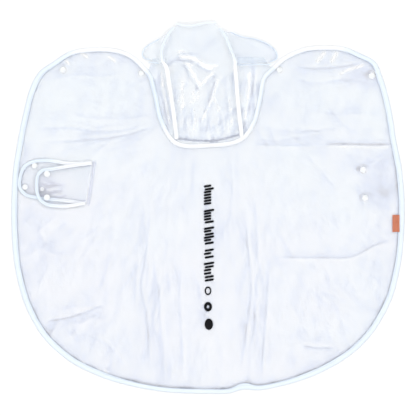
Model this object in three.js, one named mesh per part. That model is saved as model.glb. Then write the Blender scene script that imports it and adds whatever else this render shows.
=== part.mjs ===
// A child's transparent hooded rain cape, spread flat with its outer side up.
// Millimetres. +X is the wearer's right, +Y points to the hood, +Z is up from the table.
// The origin is on the table, at the middle of the cape.
import * as THREE from 'three';

// Film and the binding tape folded over its edge.
const FILM = 0.6;
const FILM_Z = 2.2;
const GAP = 0.3;
const BINDING_HALF = 1.4;
const TAB_BINDING_HALF = 1.0;
const BINDING_WEB = 1.4;
const FRONT_BINDING = 12;
const NECK_BINDING = 10;
const TAB_BINDING = 7;
const STEP = 31;

// The cape folds over the shoulders on two lines, FOLD_X each side of the middle.
const FOLD_X = 184;
const FOLD_GAP = 0.5;
const FOLD_TAPE_GAP = 4.5;
// The shoulder's tape crosses the fold at a slant, so it ends further from it.
const SHOULDER_TAPE_GAP = 12;

// Hood seams. The hood folds back on a line level with the neck points.
const PIPING_WIDTH = 9;
const PIPING_HEIGHT = 3.4;
const PIPING_ROOM = 1;
const NECK_SLOT = 4.4;

// The cape's edge, anticlockwise, as smooth stretches that meet at the two fold lines
// and at the two neck points.
const LEFT_FRONT_EDGE = [
  [-FOLD_X, 368], [-228, 382], [-290, 383], [-332, 374], [-372, 349], [-404, 326],
  [-424, 292], [-441, 232], [-457, 155], [-468, 78], [-471, 0], [-469, -88],
  [-458, -168], [-436, -240], [-394, -312], [-330, -370], [-252, -408],
];
const HEM_EDGE = [
  [-FOLD_X, -428], [-92, -443], [0, -446], [50, -445.5], [84, -436.5], [124, -437.5],
];
const RIGHT_FRONT_EDGE = [
  [FOLD_X, -426], [252, -404], [324, -366], [386, -312], [436, -230], [459, -150],
  [469, -72], [471, 8], [465, 88], [450, 166], [437, 245], [418, 312],
  [401, 349], [361, 371], [330, 384], [290, 388], [232, 384],
];
const RIGHT_SHOULDER_EDGE = [[FOLD_X, 364]];
const NECK_EDGE = [
  [155, 339], [131, 314], [119, 260], [105, 206], [76, 167], [4, 154],
  [-76, 160], [-108, 212], [-122, 270], [-134, 316],
];
const LEFT_SHOULDER_EDGE = [[-147, 334]];

// Press studs: the place of each cap on the cape and on the two tabs.
const CAP_RADIUS = 7.4;
const NECK_CAP_RADIUS = 6.6;
const SMALL_CAP_RADIUS = 6.7;
const TAB_STUD_RADIUS = 5.2;
const CAP_HEIGHT = 1.8;
const POST_RADIUS = 1.9;
const CAPE_SNAPS = {
  neck_left: [-160.5, 322],
  neck_right: [171.5, 330.5],
};
const LEFT_FRONT_SNAPS = { shoulder_left: [-348, 330] };
const RIGHT_FRONT_SNAPS = {
  shoulder_right: [393, 316],
  side_upper: [372, 90],
  side_lower: [377, 23],
};
const TAB_OUTER_SNAPS = { tab_outer_upper: [-386, 80.5], tab_outer_lower: [-386, 24] };
const TAB_INNER_SNAPS = { tab_inner_upper: [-416, 100], tab_inner_lower: [-439, 49] };
const TAB_INNER_STUD = [-398, 44];

// Two closing tabs lie one on the other, both sewn into one slanted seam.
const SEAM_TOP = [-277, 113];
const SEAM_BOTTOM = [-293, 5];
const SEAM_STRIP = 8;
const TAB_INNER_EDGE = [
  [-278, 112], [-330, 110], [-385, 117], [-420, 114], [-444, 100], [-455, 72],
  [-455, 46], [-440, 28], [-408, 19], [-350, 13], [-293, 6],
];
const TAB_OUTER_EDGE = [
  [-278, 111], [-330, 104], [-372, 97], [-398, 93], [-411, 80], [-415, 56],
  [-413, 32], [-404, 14], [-386, 3], [-345, -1], [-293, 6],
];
const TAB_INNER_Z = 3.8;
const TAB_OUTER_Z = 6.1;
const TAB_INNER_RISE = 1.4 / 175;
const TAB_OUTER_RISE = 2.2 / 110;

// The side label.
const LABEL = { x: 449.5, y: -38.5, width: 13, height: 41, thickness: 0.5 };

const material = (colour, roughness, metalness = 0) =>
  new THREE.MeshStandardMaterial({ color: colour, roughness, metalness });
const filmMaterial = material(0xeef4fa, 0.25);
const hoodMaterial = material(0xe6eff8, 0.15);
const bindingMaterial = material(0xf7fafd, 0.45);
const snapMaterial = material(0xffffff, 0.3);
const labelMaterial = material(0xde8d6d, 0.8);

const cape = new THREE.Group();

function addPiece(parent, name, geometry, look) {
  const piece = new THREE.Mesh(geometry, look);
  piece.name = name;
  parent.add(piece);
  return piece;
}

const flat = ([x, y], z = 0) => new THREE.Vector3(x, y, z);

// A part of a longer curve, from one of its parameters to another.
class Stretch extends THREE.Curve {
  constructor(whole, from, to) {
    super();
    this.whole = whole;
    this.from = from;
    this.to = to;
  }

  getPoint(t, target = new THREE.Vector3()) {
    return this.whole.getPoint(this.from + (this.to - this.from) * t, target);
  }

  // The same stretch, shorter by a gap at each end.
  trimmed(startGap, endGap) {
    const length = this.getLength();
    const span = this.to - this.from;
    const start = this.getUtoTmapping(startGap / length);
    const end = this.getUtoTmapping(1 - endGap / length);
    return new Stretch(this.whole, this.from + span * start, this.from + span * end);
  }
}

// A smooth curve in space whose swept section stays level, with no roll.
class LevelCurve extends THREE.CatmullRomCurve3 {
  computeFrenetFrames(segments) {
    const tangents = [];
    const normals = [];
    const binormals = [];
    for (let i = 0; i <= segments; i++) {
      const along = this.getTangentAt(i / segments);
      const left = new THREE.Vector3(-along.y, along.x, 0).normalize();
      tangents.push(along);
      binormals.push(left);
      normals.push(left.clone().cross(along));
    }
    return { tangents, normals, binormals };
  }
}

// Points along a flat curve, moved sideways to the left of its direction.
function besides(curve, steps, inset) {
  return curve.getSpacedPoints(steps).map((point, i) => {
    const along = curve.getTangentAt(i / steps);
    return new THREE.Vector2(point.x - along.y * inset, point.y + along.x * inset);
  });
}

// The folded tape: a channel that wraps the film's edge.
function channelSection(width, half) {
  const lip = FILM / 2 + GAP;
  return new THREE.Shape([
    new THREE.Vector2(-half, 0),
    new THREE.Vector2(half, 0),
    new THREE.Vector2(half, width),
    new THREE.Vector2(lip, width),
    new THREE.Vector2(lip, BINDING_WEB),
    new THREE.Vector2(-lip, BINDING_WEB),
    new THREE.Vector2(-lip, width),
    new THREE.Vector2(-half, width),
  ]);
}

// The neck tape has a slot each side: the cape enters one and the hood the other.
function neckSection(width, half) {
  const lip = FILM / 2 + GAP;
  const webStart = NECK_SLOT;
  const webEnd = NECK_SLOT + BINDING_WEB;
  return new THREE.Shape([
    new THREE.Vector2(-half, 0),
    new THREE.Vector2(-lip, 0),
    new THREE.Vector2(-lip, webStart),
    new THREE.Vector2(lip, webStart),
    new THREE.Vector2(lip, 0),
    new THREE.Vector2(half, 0),
    new THREE.Vector2(half, width),
    new THREE.Vector2(lip, width),
    new THREE.Vector2(lip, webEnd),
    new THREE.Vector2(-lip, webEnd),
    new THREE.Vector2(-lip, width),
    new THREE.Vector2(-half, width),
  ]);
}

// A rounded flat bar, for piping and elastic edges.
function barSection(width, height) {
  const corner = height * 0.3;
  const x = height / 2;
  const y = width / 2;
  return new THREE.Shape([
    new THREE.Vector2(x, -y + corner),
    new THREE.Vector2(x, y - corner),
    new THREE.Vector2(x - corner, y),
    new THREE.Vector2(-x + corner, y),
    new THREE.Vector2(-x, y - corner),
    new THREE.Vector2(-x, -y + corner),
    new THREE.Vector2(-x + corner, -y),
    new THREE.Vector2(x - corner, -y),
  ]);
}

function sweep(section, path, steps) {
  return new THREE.ExtrudeGeometry(section, { extrudePath: path, steps });
}

function snapHole([x, y]) {
  return new THREE.Path().absarc(x, y, POST_RADIUS + GAP, 0, 2 * Math.PI, true);
}

function filmSlab(outline, snaps) {
  const shape = new THREE.Shape(outline);
  shape.holes = snaps.map(snapHole);
  const options = { depth: FILM, bevelEnabled: false, curveSegments: 4 };
  return new THREE.ExtrudeGeometry(shape, options).translate(0, 0, -FILM / 2);
}

// Cap with the post that goes through the film; its own z = 0 is the film's middle.
function snapCap(radius) {
  const under = FILM / 2 + GAP;
  const top = under + CAP_HEIGHT;
  const profile = [
    [0, -1.6], [POST_RADIUS, -1.6], [POST_RADIUS, under], [radius, under],
    [radius, under + CAP_HEIGHT * 0.5], [radius - 1.6, top], [0, top],
  ];
  return lathe(profile);
}

// The ring pressed on the post from the inner side.
function snapSocket(radius, depth) {
  const top = -FILM / 2 - GAP;
  const bore = POST_RADIUS + GAP;
  const profile = [
    [bore, top - depth], [radius - 2, top - depth], [radius - 1, top - depth / 2],
    [radius - 1, top], [bore, top], [bore, top - depth],
  ];
  return lathe(profile);
}

function snapStud(radius) {
  const under = FILM / 2 + GAP;
  return lathe([[0, under], [radius, under], [radius * 0.7, under + 1.2], [0, under + 1.2]]);
}

function lathe(profile) {
  const points = profile.map(([r, z]) => new THREE.Vector2(r, z));
  return new THREE.LatheGeometry(points, 12).rotateX(Math.PI / 2);
}

function addSnaps(parent, snaps, radius, z, depth = 1.6) {
  for (const [name, place] of Object.entries(snaps)) {
    const cap = addPiece(parent, `snap_cap_${name}`, snapCap(radius), snapMaterial);
    const socket = addPiece(
      parent, `snap_socket_${name}`, snapSocket(radius, depth), snapMaterial);
    cap.position.copy(flat(place, z));
    socket.position.copy(flat(place, z));
  }
}

// A thin closed shell: surface(u, v) gives its middle, with u and v from 0 to 1.
function shell(surface, across, along) {
  const geometry = new THREE.BoxGeometry(1, 1, 1, across, along, 1);
  const corners = geometry.attributes.position;
  for (let i = 0; i < corners.count; i++) {
    const point = surface(corners.getX(i) + 0.5, corners.getY(i) + 0.5);
    const z = point.z + corners.getZ(i) * FILM;
    corners.setXYZ(i, point.x, point.y, z);
  }
  geometry.computeVertexNormals();
  return geometry;
}

const spline = (points) =>
  new LevelCurve(points.map(([x, y, z = 0]) => new THREE.Vector3(x, y, z)));
const smooth = (t) => THREE.MathUtils.smoothstep(t, 0, 1);
const steps = (curve) => Math.max(2, Math.round(curve.getLength() / STEP));

// ---- The cape's edge ----
const edgeParts = [
  LEFT_FRONT_EDGE, HEM_EDGE, RIGHT_FRONT_EDGE, RIGHT_SHOULDER_EDGE, NECK_EDGE,
  LEFT_SHOULDER_EDGE,
];
const edgeCurve = new THREE.CatmullRomCurve3(
  edgeParts.flat().map((place) => flat(place)), true, 'centripetal');
const edgeStretches = [];
let passed = 0;
for (const part of edgeParts) {
  const next = passed + part.length;
  const total = edgeCurve.points.length;
  edgeStretches.push(new Stretch(edgeCurve, passed / total, next / total));
  passed = next;
}
const [leftFront, hem, rightFront, rightShoulder, neck, leftShoulder] = edgeStretches;
const filmInset = BINDING_WEB + GAP;
const neckInset = NECK_SLOT + BINDING_WEB + GAP;

const leftFrontTape = leftFront.trimmed(FOLD_TAPE_GAP, 1.5 * FOLD_TAPE_GAP);
const hemTape = hem.trimmed(FOLD_TAPE_GAP, FOLD_TAPE_GAP);
const rightFrontTape = rightFront.trimmed(1.5 * FOLD_TAPE_GAP, FOLD_TAPE_GAP);
const rightShoulderTape = rightShoulder.trimmed(SHOULDER_TAPE_GAP, GAP);
const neckTape = neck.trimmed(GAP, GAP);
const leftShoulderTape = leftShoulder.trimmed(GAP, SHOULDER_TAPE_GAP);

const row = (tape, inset = filmInset) => besides(tape, steps(tape), inset);

// A corner of film on a fold line, at the height where a tape's end is.
function foldCorner(tapeEnd, side, into) {
  return new THREE.Vector2(side * FOLD_X + into * FOLD_GAP, tapeEnd.y);
}

function frontOutline(tape, side) {
  const edge = row(tape);
  const first = foldCorner(edge[0], side, side);
  const last = foldCorner(edge[edge.length - 1], side, side);
  return [first, ...edge, last];
}

function backOutline() {
  const bottom = row(hemTape);
  const right = row(rightShoulderTape);
  const left = row(leftShoulderTape);
  return [
    foldCorner(bottom[0], -1, 1),
    ...bottom,
    foldCorner(bottom[bottom.length - 1], 1, -1),
    foldCorner(right[0], 1, -1),
    ...right.slice(0, -1),
    ...row(neckTape, neckInset),
    ...left.slice(1),
    foldCorner(left[left.length - 1], -1, 1),
  ];
}

// ---- Back and fronts ----
const layer = new THREE.Group();
layer.position.z = FILM_Z;
cape.add(layer);
addPiece(layer, 'back_panel', filmSlab(backOutline(), Object.values(CAPE_SNAPS)), filmMaterial);
addPiece(
  layer, 'left_front_panel',
  filmSlab(frontOutline(leftFrontTape, -1), Object.values(LEFT_FRONT_SNAPS)), filmMaterial);
addPiece(
  layer, 'right_front_panel',
  filmSlab(frontOutline(rightFrontTape, 1), Object.values(RIGHT_FRONT_SNAPS)), filmMaterial);

const frontTape = channelSection(FRONT_BINDING, BINDING_HALF);
const rootTape = channelSection(NECK_BINDING, BINDING_HALF);
const tapes = [
  ['left_front_binding', leftFrontTape, frontTape],
  ['hem_binding', hemTape, rootTape],
  ['right_front_binding', rightFrontTape, frontTape],
  ['right_shoulder_binding', rightShoulderTape, rootTape],
  ['neck_binding', neckTape, neckSection(NECK_BINDING, BINDING_HALF)],
  ['left_shoulder_binding', leftShoulderTape, rootTape],
];
for (const [name, tape, section] of tapes) {
  addPiece(layer, name, sweep(section, tape, steps(tape)), bindingMaterial);
}
addSnaps(layer, CAPE_SNAPS, NECK_CAP_RADIUS, 0);
addSnaps(layer, LEFT_FRONT_SNAPS, CAP_RADIUS, 0);
addSnaps(layer, RIGHT_FRONT_SNAPS, CAP_RADIUS, 0);

// ---- Hood: three panels joined by two lines of piping, in a low dome ----
const pipingLines = {
  left_lower: spline([[-76, 174, 5.5], [-81, 215, 12], [-89, 272, 14], [-99, 335, 15]]),
  right_lower: spline([[80, 181, 5.5], [73, 239, 12], [68, 300, 14], [65, 335, 15]]),
  left_upper: spline(
    [[-100, 337, 15], [-110, 354, 15], [-110, 382, 14], [-95, 415, 12], [-82, 432, 10]]),
  right_upper: spline(
    [[65, 337, 15], [64, 354, 15], [54, 380, 14], [43, 408, 12], [28, 430, 10]]),
};
for (const [name, line] of Object.entries(pipingLines)) {
  addPiece(
    cape, `piping_${name}`, sweep(barSection(PIPING_WIDTH, PIPING_HEIGHT), line, 12),
    bindingMaterial);
}

// A place beside the neck's edge: inset is positive on the cape's side of the edge.
// The steps of the hood's rows don't match the tape's, so a row stays SLOT_ROOM clear.
const SLOT_ROOM = 3;
function neckPlace(t, inset) {
  const point = neck.getPointAt(t);
  const along = neck.getTangentAt(t);
  return new THREE.Vector3(point.x - along.y * inset, point.y + along.x * inset, FILM_Z);
}

// A place just clear of a piping's side: side is 1 on its right and -1 on its left.
function pipingEdge(line, t, side) {
  const point = line.getPoint(t);
  const along = line.getTangent(t).setZ(0).normalize();
  const away = side * (PIPING_WIDTH / 2 + PIPING_ROOM);
  point.x += along.y * away;
  point.y -= along.x * away;
  return point;
}

// The centre strip's share of the neck, from its left corner to its right one.
const CENTRE_LEFT = 0.635;
const CENTRE_RIGHT = 0.385;
const CENTRE_CROWN = 7;
const CENTRE_ROWS = 10;

function centreLower(u, v) {
  const t = THREE.MathUtils.lerp(CENTRE_LEFT, CENTRE_RIGHT, u);
  const slot = neckPlace(t, NECK_SLOT - SLOT_ROOM);
  const mouth = neckPlace(t, -2);
  const row = v * CENTRE_ROWS;
  if (row < 1) return slot.lerp(mouth, row);
  const w = (row - 1) / (CENTRE_ROWS - 1);
  const left = pipingEdge(pipingLines.left_lower, w, 1);
  const right = pipingEdge(pipingLines.right_lower, w, -1);
  const first = pipingEdge(pipingLines.left_lower, 0, 1)
    .lerp(pipingEdge(pipingLines.right_lower, 0, -1), u);
  const place = left.lerp(right, u);
  place.add(mouth.sub(first).multiplyScalar((1 - w) ** 2));
  place.z += CENTRE_CROWN * Math.sin(Math.PI * u) * smooth(w * 3);
  return place;
}
addPiece(cape, 'hood_centre_lower', shell(centreLower, 6, CENTRE_ROWS), hoodMaterial);

// Side panels run from the neck's slot up to the piping.
const SIDE_COLUMNS = 5;
function sideLower(line, neckFrom, neckTo, pipingFrom, side) {
  return (u, v) => {
    const t = THREE.MathUtils.lerp(neckFrom, neckTo, v);
    const column = (side < 0 ? u : 1 - u) * SIDE_COLUMNS;
    const slot = neckPlace(t, NECK_SLOT - SLOT_ROOM);
    const mouth = neckPlace(t, -2);
    if (column < 1) return slot.lerp(mouth, column);
    const w = (column - 1) / (SIDE_COLUMNS - 1);
    const end = pipingEdge(line, THREE.MathUtils.lerp(pipingFrom, 1, v), side);
    const place = mouth.clone().lerp(end, w);
    place.z = THREE.MathUtils.lerp(mouth.z, end.z, smooth(w));
    return place;
  };
}
addPiece(
  cape, 'hood_side_left_lower',
  shell(sideLower(pipingLines.left_lower, 0.70, 0.985, 0.12, -1), SIDE_COLUMNS, 7),
  hoodMaterial);
addPiece(
  cape, 'hood_side_right_lower',
  shell(sideLower(pipingLines.right_lower, 0.30, 0.02, 0.12, 1), SIDE_COLUMNS, 7),
  hoodMaterial);

const BRIM = spline([[-78, 440, 9], [-44, 435, 11], [-8, 441.5, 11], [20, 442.5, 9]]);
const BRIM_WIDTH = 7;
const UPPER_ROWS = 7;
// The last row of the centre strip meets the brim; the others run between the pipings.
function centreUpper(u, v) {
  const w = Math.min(1, (v * UPPER_ROWS) / (UPPER_ROWS - 1));
  if (v > 1 - 0.5 / UPPER_ROWS) {
    const end = BRIM.getPoint(0.04 + 0.92 * u);
    end.y -= BRIM_WIDTH / 2 + 2 * GAP;
    return end;
  }
  const left = pipingEdge(pipingLines.left_upper, w, 1);
  const right = pipingEdge(pipingLines.right_upper, w, -1);
  const place = left.lerp(right, u);
  place.z += CENTRE_CROWN * Math.sin(Math.PI * u) * (1 - w);
  return place;
}
addPiece(cape, 'hood_centre_upper', shell(centreUpper, 6, UPPER_ROWS), hoodMaterial);
addPiece(cape, 'hood_brim_hem', sweep(barSection(BRIM_WIDTH, 2.4), BRIM, 8), bindingMaterial);

// The loose front parts of the side panels puff out beside the centre strip.
const LOBE_CROWN = 6;
function lobe(line, outer, side) {
  return (u, v) => {
    const inner = pipingEdge(line, THREE.MathUtils.lerp(0.14, 0.86, v), side);
    const edge = outer.getPoint(v);
    const share = side < 0 ? 1 - u : u;
    const place = inner.lerp(edge, share);
    place.z += LOBE_CROWN * Math.sin(Math.PI * share);
    return place;
  };
}
const leftLobeEdge = spline(
  [[-138, 355, 6], [-152, 358, 5], [-157, 368, 5], [-151, 382, 6], [-136, 393, 8], [-116, 404, 10]]);
const rightLobeEdge = spline(
  [[148, 349, 6], [165, 358, 5], [162, 375, 5], [144, 391, 6], [115, 403, 7], [82, 409, 8],
    [54, 420, 9]]);
addPiece(
  cape, 'hood_side_left_upper', shell(lobe(pipingLines.left_upper, leftLobeEdge, -1), 5, 8),
  hoodMaterial);
addPiece(
  cape, 'hood_side_right_upper', shell(lobe(pipingLines.right_upper, rightLobeEdge, 1), 5, 10),
  hoodMaterial);

// Elastic gathers the lobes' lower edges.
const elasticLines = {
  left: [[-117, 345, 11], [-128, 347, 9], [-143, 349, 6]],
  right: [[71, 341, 13], [95, 342, 11], [125, 343, 9], [152, 343, 6]],
};
for (const [side, points] of Object.entries(elasticLines)) {
  const path = spline(points);
  addPiece(cape, `elastic_edge_${side}`, sweep(barSection(4, 2), path, 6), bindingMaterial);
}

// ---- Closing tabs ----
const seamTop = flat(SEAM_TOP);
const seamBottom = flat(SEAM_BOTTOM);
const seamAxis = seamTop.clone().sub(seamBottom).normalize();

// A tab's own frame has its origin on the seam; it lies tilted up from there.
function tabGroup(z, rise) {
  const turned = new THREE.Group();
  turned.position.copy(seamBottom).setZ(z);
  turned.setRotationFromAxisAngle(seamAxis, Math.atan(rise));
  const inner = new THREE.Group();
  inner.position.copy(seamBottom).negate();
  turned.add(inner);
  cape.add(turned);
  return inner;
}

function addTab(name, edgePoints, snaps, radius, z, rise) {
  const parent = tabGroup(z, rise);
  const edge = spline(edgePoints);
  const count = Math.round(edge.getLength() / 17);
  const tape = new Stretch(edge, 0, 1).trimmed(1.5, 1.5);
  addPiece(
    parent, `${name}_film`, filmSlab(besides(tape, count, filmInset), snaps.holes),
    filmMaterial);
  addPiece(
    parent, `${name}_binding`,
    sweep(channelSection(TAB_BINDING, TAB_BINDING_HALF), tape, count), bindingMaterial);
  addSnaps(parent, snaps.caps, radius, 0, 1.2);
  return parent;
}
const innerTab = addTab(
  'tab_inner', TAB_INNER_EDGE,
  { holes: Object.values(TAB_INNER_SNAPS), caps: TAB_INNER_SNAPS },
  SMALL_CAP_RADIUS, TAB_INNER_Z, TAB_INNER_RISE);
const stud = addPiece(innerTab, 'tab_inner_stud', snapStud(TAB_STUD_RADIUS), snapMaterial);
stud.position.copy(flat(TAB_INNER_STUD));
addTab(
  'tab_outer', TAB_OUTER_EDGE,
  { holes: Object.values(TAB_OUTER_SNAPS), caps: TAB_OUTER_SNAPS },
  CAP_RADIUS, TAB_OUTER_Z, TAB_OUTER_RISE);

// The sewn strip that holds both tabs on the left front, just beside their hinge line.
const stripSide = new THREE.Vector3(seamAxis.y, -seamAxis.x, 0);
const stripNear = 1.6;
const stripCorners = [
  seamBottom.clone().addScaledVector(stripSide, stripNear),
  seamBottom.clone().addScaledVector(stripSide, stripNear + SEAM_STRIP),
  seamTop.clone().addScaledVector(stripSide, stripNear + SEAM_STRIP),
  seamTop.clone().addScaledVector(stripSide, stripNear),
];
const strip = new THREE.ExtrudeGeometry(
  new THREE.Shape(stripCorners.map((p) => new THREE.Vector2(p.x, p.y))),
  { depth: 1.4, bevelEnabled: false });
const stripPiece = addPiece(cape, 'tab_seam_strip', strip, bindingMaterial);
stripPiece.position.z = FILM_Z + FILM / 2 + GAP;

// ---- Side label ----
const label = addPiece(
  cape, 'side_label', new THREE.BoxGeometry(LABEL.width, LABEL.height, LABEL.thickness),
  labelMaterial);
label.position.set(LABEL.x, LABEL.y, FILM_Z + FILM / 2 + GAP + LABEL.thickness / 2);

export default cape;
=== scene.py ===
"""Looks of a child's transparent hooded rain cape that lies spread flat, its outer side up.

The tables are in millimetres, as in the CAD part. Everything in the scene is in metres.
"""
import math

import bpy
import numpy as np
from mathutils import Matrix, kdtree
from mathutils.geometry import delaunay_2d_cdt


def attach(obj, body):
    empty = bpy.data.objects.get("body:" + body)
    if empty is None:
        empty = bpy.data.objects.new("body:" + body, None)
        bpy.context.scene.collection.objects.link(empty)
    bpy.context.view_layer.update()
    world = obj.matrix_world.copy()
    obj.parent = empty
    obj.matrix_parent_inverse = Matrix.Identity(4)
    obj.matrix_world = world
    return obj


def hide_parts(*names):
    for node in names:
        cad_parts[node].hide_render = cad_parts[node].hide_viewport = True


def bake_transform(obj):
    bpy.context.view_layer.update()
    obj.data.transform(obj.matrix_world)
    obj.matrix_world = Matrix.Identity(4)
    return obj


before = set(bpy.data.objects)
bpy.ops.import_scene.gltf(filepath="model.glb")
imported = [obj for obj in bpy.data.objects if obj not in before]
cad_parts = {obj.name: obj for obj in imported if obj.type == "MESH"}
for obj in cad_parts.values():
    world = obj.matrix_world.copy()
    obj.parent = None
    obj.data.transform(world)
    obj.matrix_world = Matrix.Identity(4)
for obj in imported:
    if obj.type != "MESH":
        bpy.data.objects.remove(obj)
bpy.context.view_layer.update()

MM = 0.001
FILM_Z = 2.2  # height of the film's middle over the table
FILM = 0.35  # its thickness
GRID = 3.7  # spacing of its mesh
LOWEST = 0.9  # the lowest its middle may lie
FILM_INSET = 2.4  # from the tape's fold in to the film's edge
TAPE_EDGE = 12.6  # from the tape's fold to its sewn edge, as it shows on the film
FRONT_TAPE, ROOT_TAPE, TAB_TAPE = 12.5, 10, 7  # widths of the folded tapes
PITCH = 4.2  # from one stitch to the next
EDGE_STITCH, NECK_STITCH = 9.6, 8  # from a tape's fold to its row of stitches
SHEEN, GLINT, DEEP_SHADE = 0.72, 1.1, -1.25  # painted light and shade at which a face of film gets a painted sheen, glint or shade look

LEFT_FRONT_EDGE = [
    (-184, 368), (-228, 382), (-290, 383), (-332, 374), (-372, 349), (-404, 326),
    (-424, 292), (-441, 232), (-457, 155), (-468, 78), (-471, 0), (-469, -88),
    (-458, -168), (-436, -240), (-394, -312), (-330, -370), (-252, -408),
]
HEM_EDGE = [
    (-184, -428), (-92, -443), (0, -446), (50, -445.5), (84, -436.5), (124, -437.5)]
RIGHT_FRONT_EDGE = [
    (184, -426), (252, -404), (324, -366), (386, -312), (436, -230), (459, -150),
    (469, -72), (471, 8), (465, 88), (450, 166), (437, 245), (418, 312),
    (401, 349), (361, 371), (330, 384), (290, 388), (232, 384),
]
RIGHT_SHOULDER_EDGE = [(184, 364)]
NECK_EDGE = [
    (155, 339), (131, 314), (119, 260), (105, 206), (76, 167), (4, 154),
    (-76, 160), (-108, 212), (-122, 270), (-134, 316),
]
LEFT_SHOULDER_EDGE = [(-147, 334)]

CAPE_SNAPS = {"neck_left": (-160.5, 322), "neck_right": (171.5, 330.5)}
LEFT_SNAPS = {"shoulder_left": (-348, 330)}
RIGHT_SNAPS = {
    "shoulder_right": (393, 316), "side_upper": (372, 90), "side_lower": (377, 23),
}
OUTER_SNAPS = {"tab_outer_upper": (-386, 80.5), "tab_outer_lower": (-386, 24)}
INNER_SNAPS = {"tab_inner_upper": (-416, 100), "tab_inner_lower": (-439, 49)}
INNER_STUD = (-398, 44)

SEAM_TOP = np.array((-277.0, 113.0))
SEAM_BOTTOM = np.array((-293.0, 5.0))
SEAM_WAY = (SEAM_TOP - SEAM_BOTTOM) / np.linalg.norm(SEAM_TOP - SEAM_BOTTOM)
TAB_INNER_EDGE = [
    (-278, 112), (-330, 110), (-385, 117), (-420, 114), (-444, 100), (-455, 72),
    (-455, 46), (-440, 28), (-408, 19), (-350, 13), (-293, 6),
]
TAB_OUTER_EDGE = [
    (-278, 111), (-330, 104), (-372, 97), (-398, 93), (-411, 80), (-415, 56),
    (-413, 32), (-404, 14), (-386, 3), (-345, -1), (-293, 6),
]
TAB_INNER_PLANE = (3.8, 1.4 / 175)  # height at the seam, and rise away from it
TAB_OUTER_PLANE = (6.1, 2.2 / 110)

PIPING = {
    "left_lower": [(-76, 174, 5.5), (-81, 215, 12), (-89, 272, 14), (-99, 335, 15)],
    "right_lower": [(80, 181, 5.5), (73, 239, 12), (68, 300, 14), (65, 335, 15)],
    "left_upper": [
        (-100, 337, 15), (-110, 354, 15), (-110, 382, 14), (-95, 415, 12), (-82, 432, 10)],
    "right_upper": [
        (65, 337, 15), (64, 354, 15), (54, 380, 14), (43, 408, 12), (28, 430, 10)],
}
BRIM = [(-78, 440, 9), (-44, 435, 11), (-8, 441.5, 11), (20, 442.5, 9)]
LEFT_LOBE = [
    (-138, 355, 6), (-152, 358, 5), (-157, 368, 5), (-151, 382, 6), (-136, 393, 8),
    (-116, 404, 10)]
RIGHT_LOBE = [
    (148, 349, 6), (165, 358, 5), (162, 375, 5), (144, 391, 6), (115, 403, 7),
    (82, 409, 8), (54, 420, 9)]
ELASTIC = {
    "left": [(-117, 345, 11), (-128, 347, 9), (-143, 349, 6)],
    "right": [(71, 341, 13), (95, 342, 11), (125, 343, 9), (152, 343, 6)],
}
LABEL = (449.5, -38.5, 13, 41)  # its middle, width and length


# ---------------------------------------------------------------- curves and noise
def smoothstep(low, high, value):
    t = np.clip((value - low) / (high - low), 0, 1)
    return t * t * (3 - 2 * t)


def mix(a, b, share):
    return a + (b - a) * share


def bell(value, width, middle=0):
    """1 at the middle, and softly down to 0 on both sides of it."""
    return np.exp(-((value - middle) / width) ** 2)


def catmull(points, closed=False, per=24):
    """A dense centripetal curve through the points, as rows of x, y, z."""
    knots = np.array([(p[0], p[1], p[2] if len(p) > 2 else 0) for p in points], float)
    count = len(knots)
    if closed:
        knots = np.vstack([knots[-1:], knots, knots[:2]])
    else:
        knots = np.vstack([2 * knots[0] - knots[1], knots, 2 * knots[-1] - knots[-2]])
    rows = []
    t = np.arange(per)[:, None] / per
    for i in range(count if closed else count - 1):
        a, b, c, d = knots[i:i + 4]
        d0, d1, d2 = (math.sqrt(np.linalg.norm(q - p)) for p, q in ((a, b), (b, c), (c, d)))
        m1 = ((b - a) / d0 - (c - a) / (d0 + d1) + (c - b) / d1) * d1
        m2 = ((c - b) / d1 - (d - b) / (d1 + d2) + (d - c) / d2) * d1
        rows.append(
            (2 * t**3 - 3 * t**2 + 1) * b + (t**3 - 2 * t**2 + t) * m1
            + (3 * t**2 - 2 * t**3) * c + (t**3 - t**2) * m2)
    end = knots[1] if closed else knots[-2]
    return np.vstack(rows + [end[None]])


class Line:
    """A curve measured in millimetres along its length."""

    def __init__(self, points):
        self.points = np.asarray(points, float)
        step = np.linalg.norm(np.diff(self.points, axis=0), axis=1)
        self.passed = np.concatenate([[0], np.cumsum(step)])
        self.length = self.passed[-1]

    def at(self, distance):
        return np.stack(
            [np.interp(distance, self.passed, self.points[:, k]) for k in range(3)], -1)

    def along(self, distance, reach=1.5):
        ahead = self.at(np.minimum(distance + reach, self.length))
        way = ahead - self.at(np.maximum(distance - reach, 0))
        way[..., 2] = 0
        return way / np.linalg.norm(way, axis=-1, keepdims=True)

    def left(self, distance):
        way = self.along(distance)
        return np.stack([-way[..., 1], way[..., 0], 0 * way[..., 0]], -1)

    def cut(self, start, end):
        inner = (self.passed > start) & (self.passed < end)
        ends = self.at(np.array([start, end]))
        return Line(np.vstack([ends[:1], self.points[inner], ends[1:]]))

    def spread(self, spacing):
        return np.linspace(0, self.length, max(3, round(self.length / spacing) + 1))


LATTICE = np.random.default_rng(7).uniform(0, 2 * math.pi, (64, 64))
CELL_SEEDS = np.random.default_rng(8).uniform(0, 1, (64, 64, 3))


def noise(x, y, size, seed=0):
    """Smooth gradient noise in about -1 to 1, with features of that size."""
    x = np.asarray(x, float) / size + 17.3 * seed + 100
    y = np.asarray(y, float) / size + 5.7 * seed + 100
    i, j = np.floor(x).astype(int), np.floor(y).astype(int)
    u, v = x - i, y - j
    total = 0
    fade_u, fade_v = u * u * (3 - 2 * u), v * v * (3 - 2 * v)
    for di in (0, 1):
        for dj in (0, 1):
            angle = LATTICE[(i + di) % 64, (j + dj) % 64]
            slope = np.cos(angle) * (u - di) + np.sin(angle) * (v - dj)
            weight = (fade_u if di else 1 - fade_u) * (fade_v if dj else 1 - fade_v)
            total = total + slope * weight
    return total * 1.5


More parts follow.
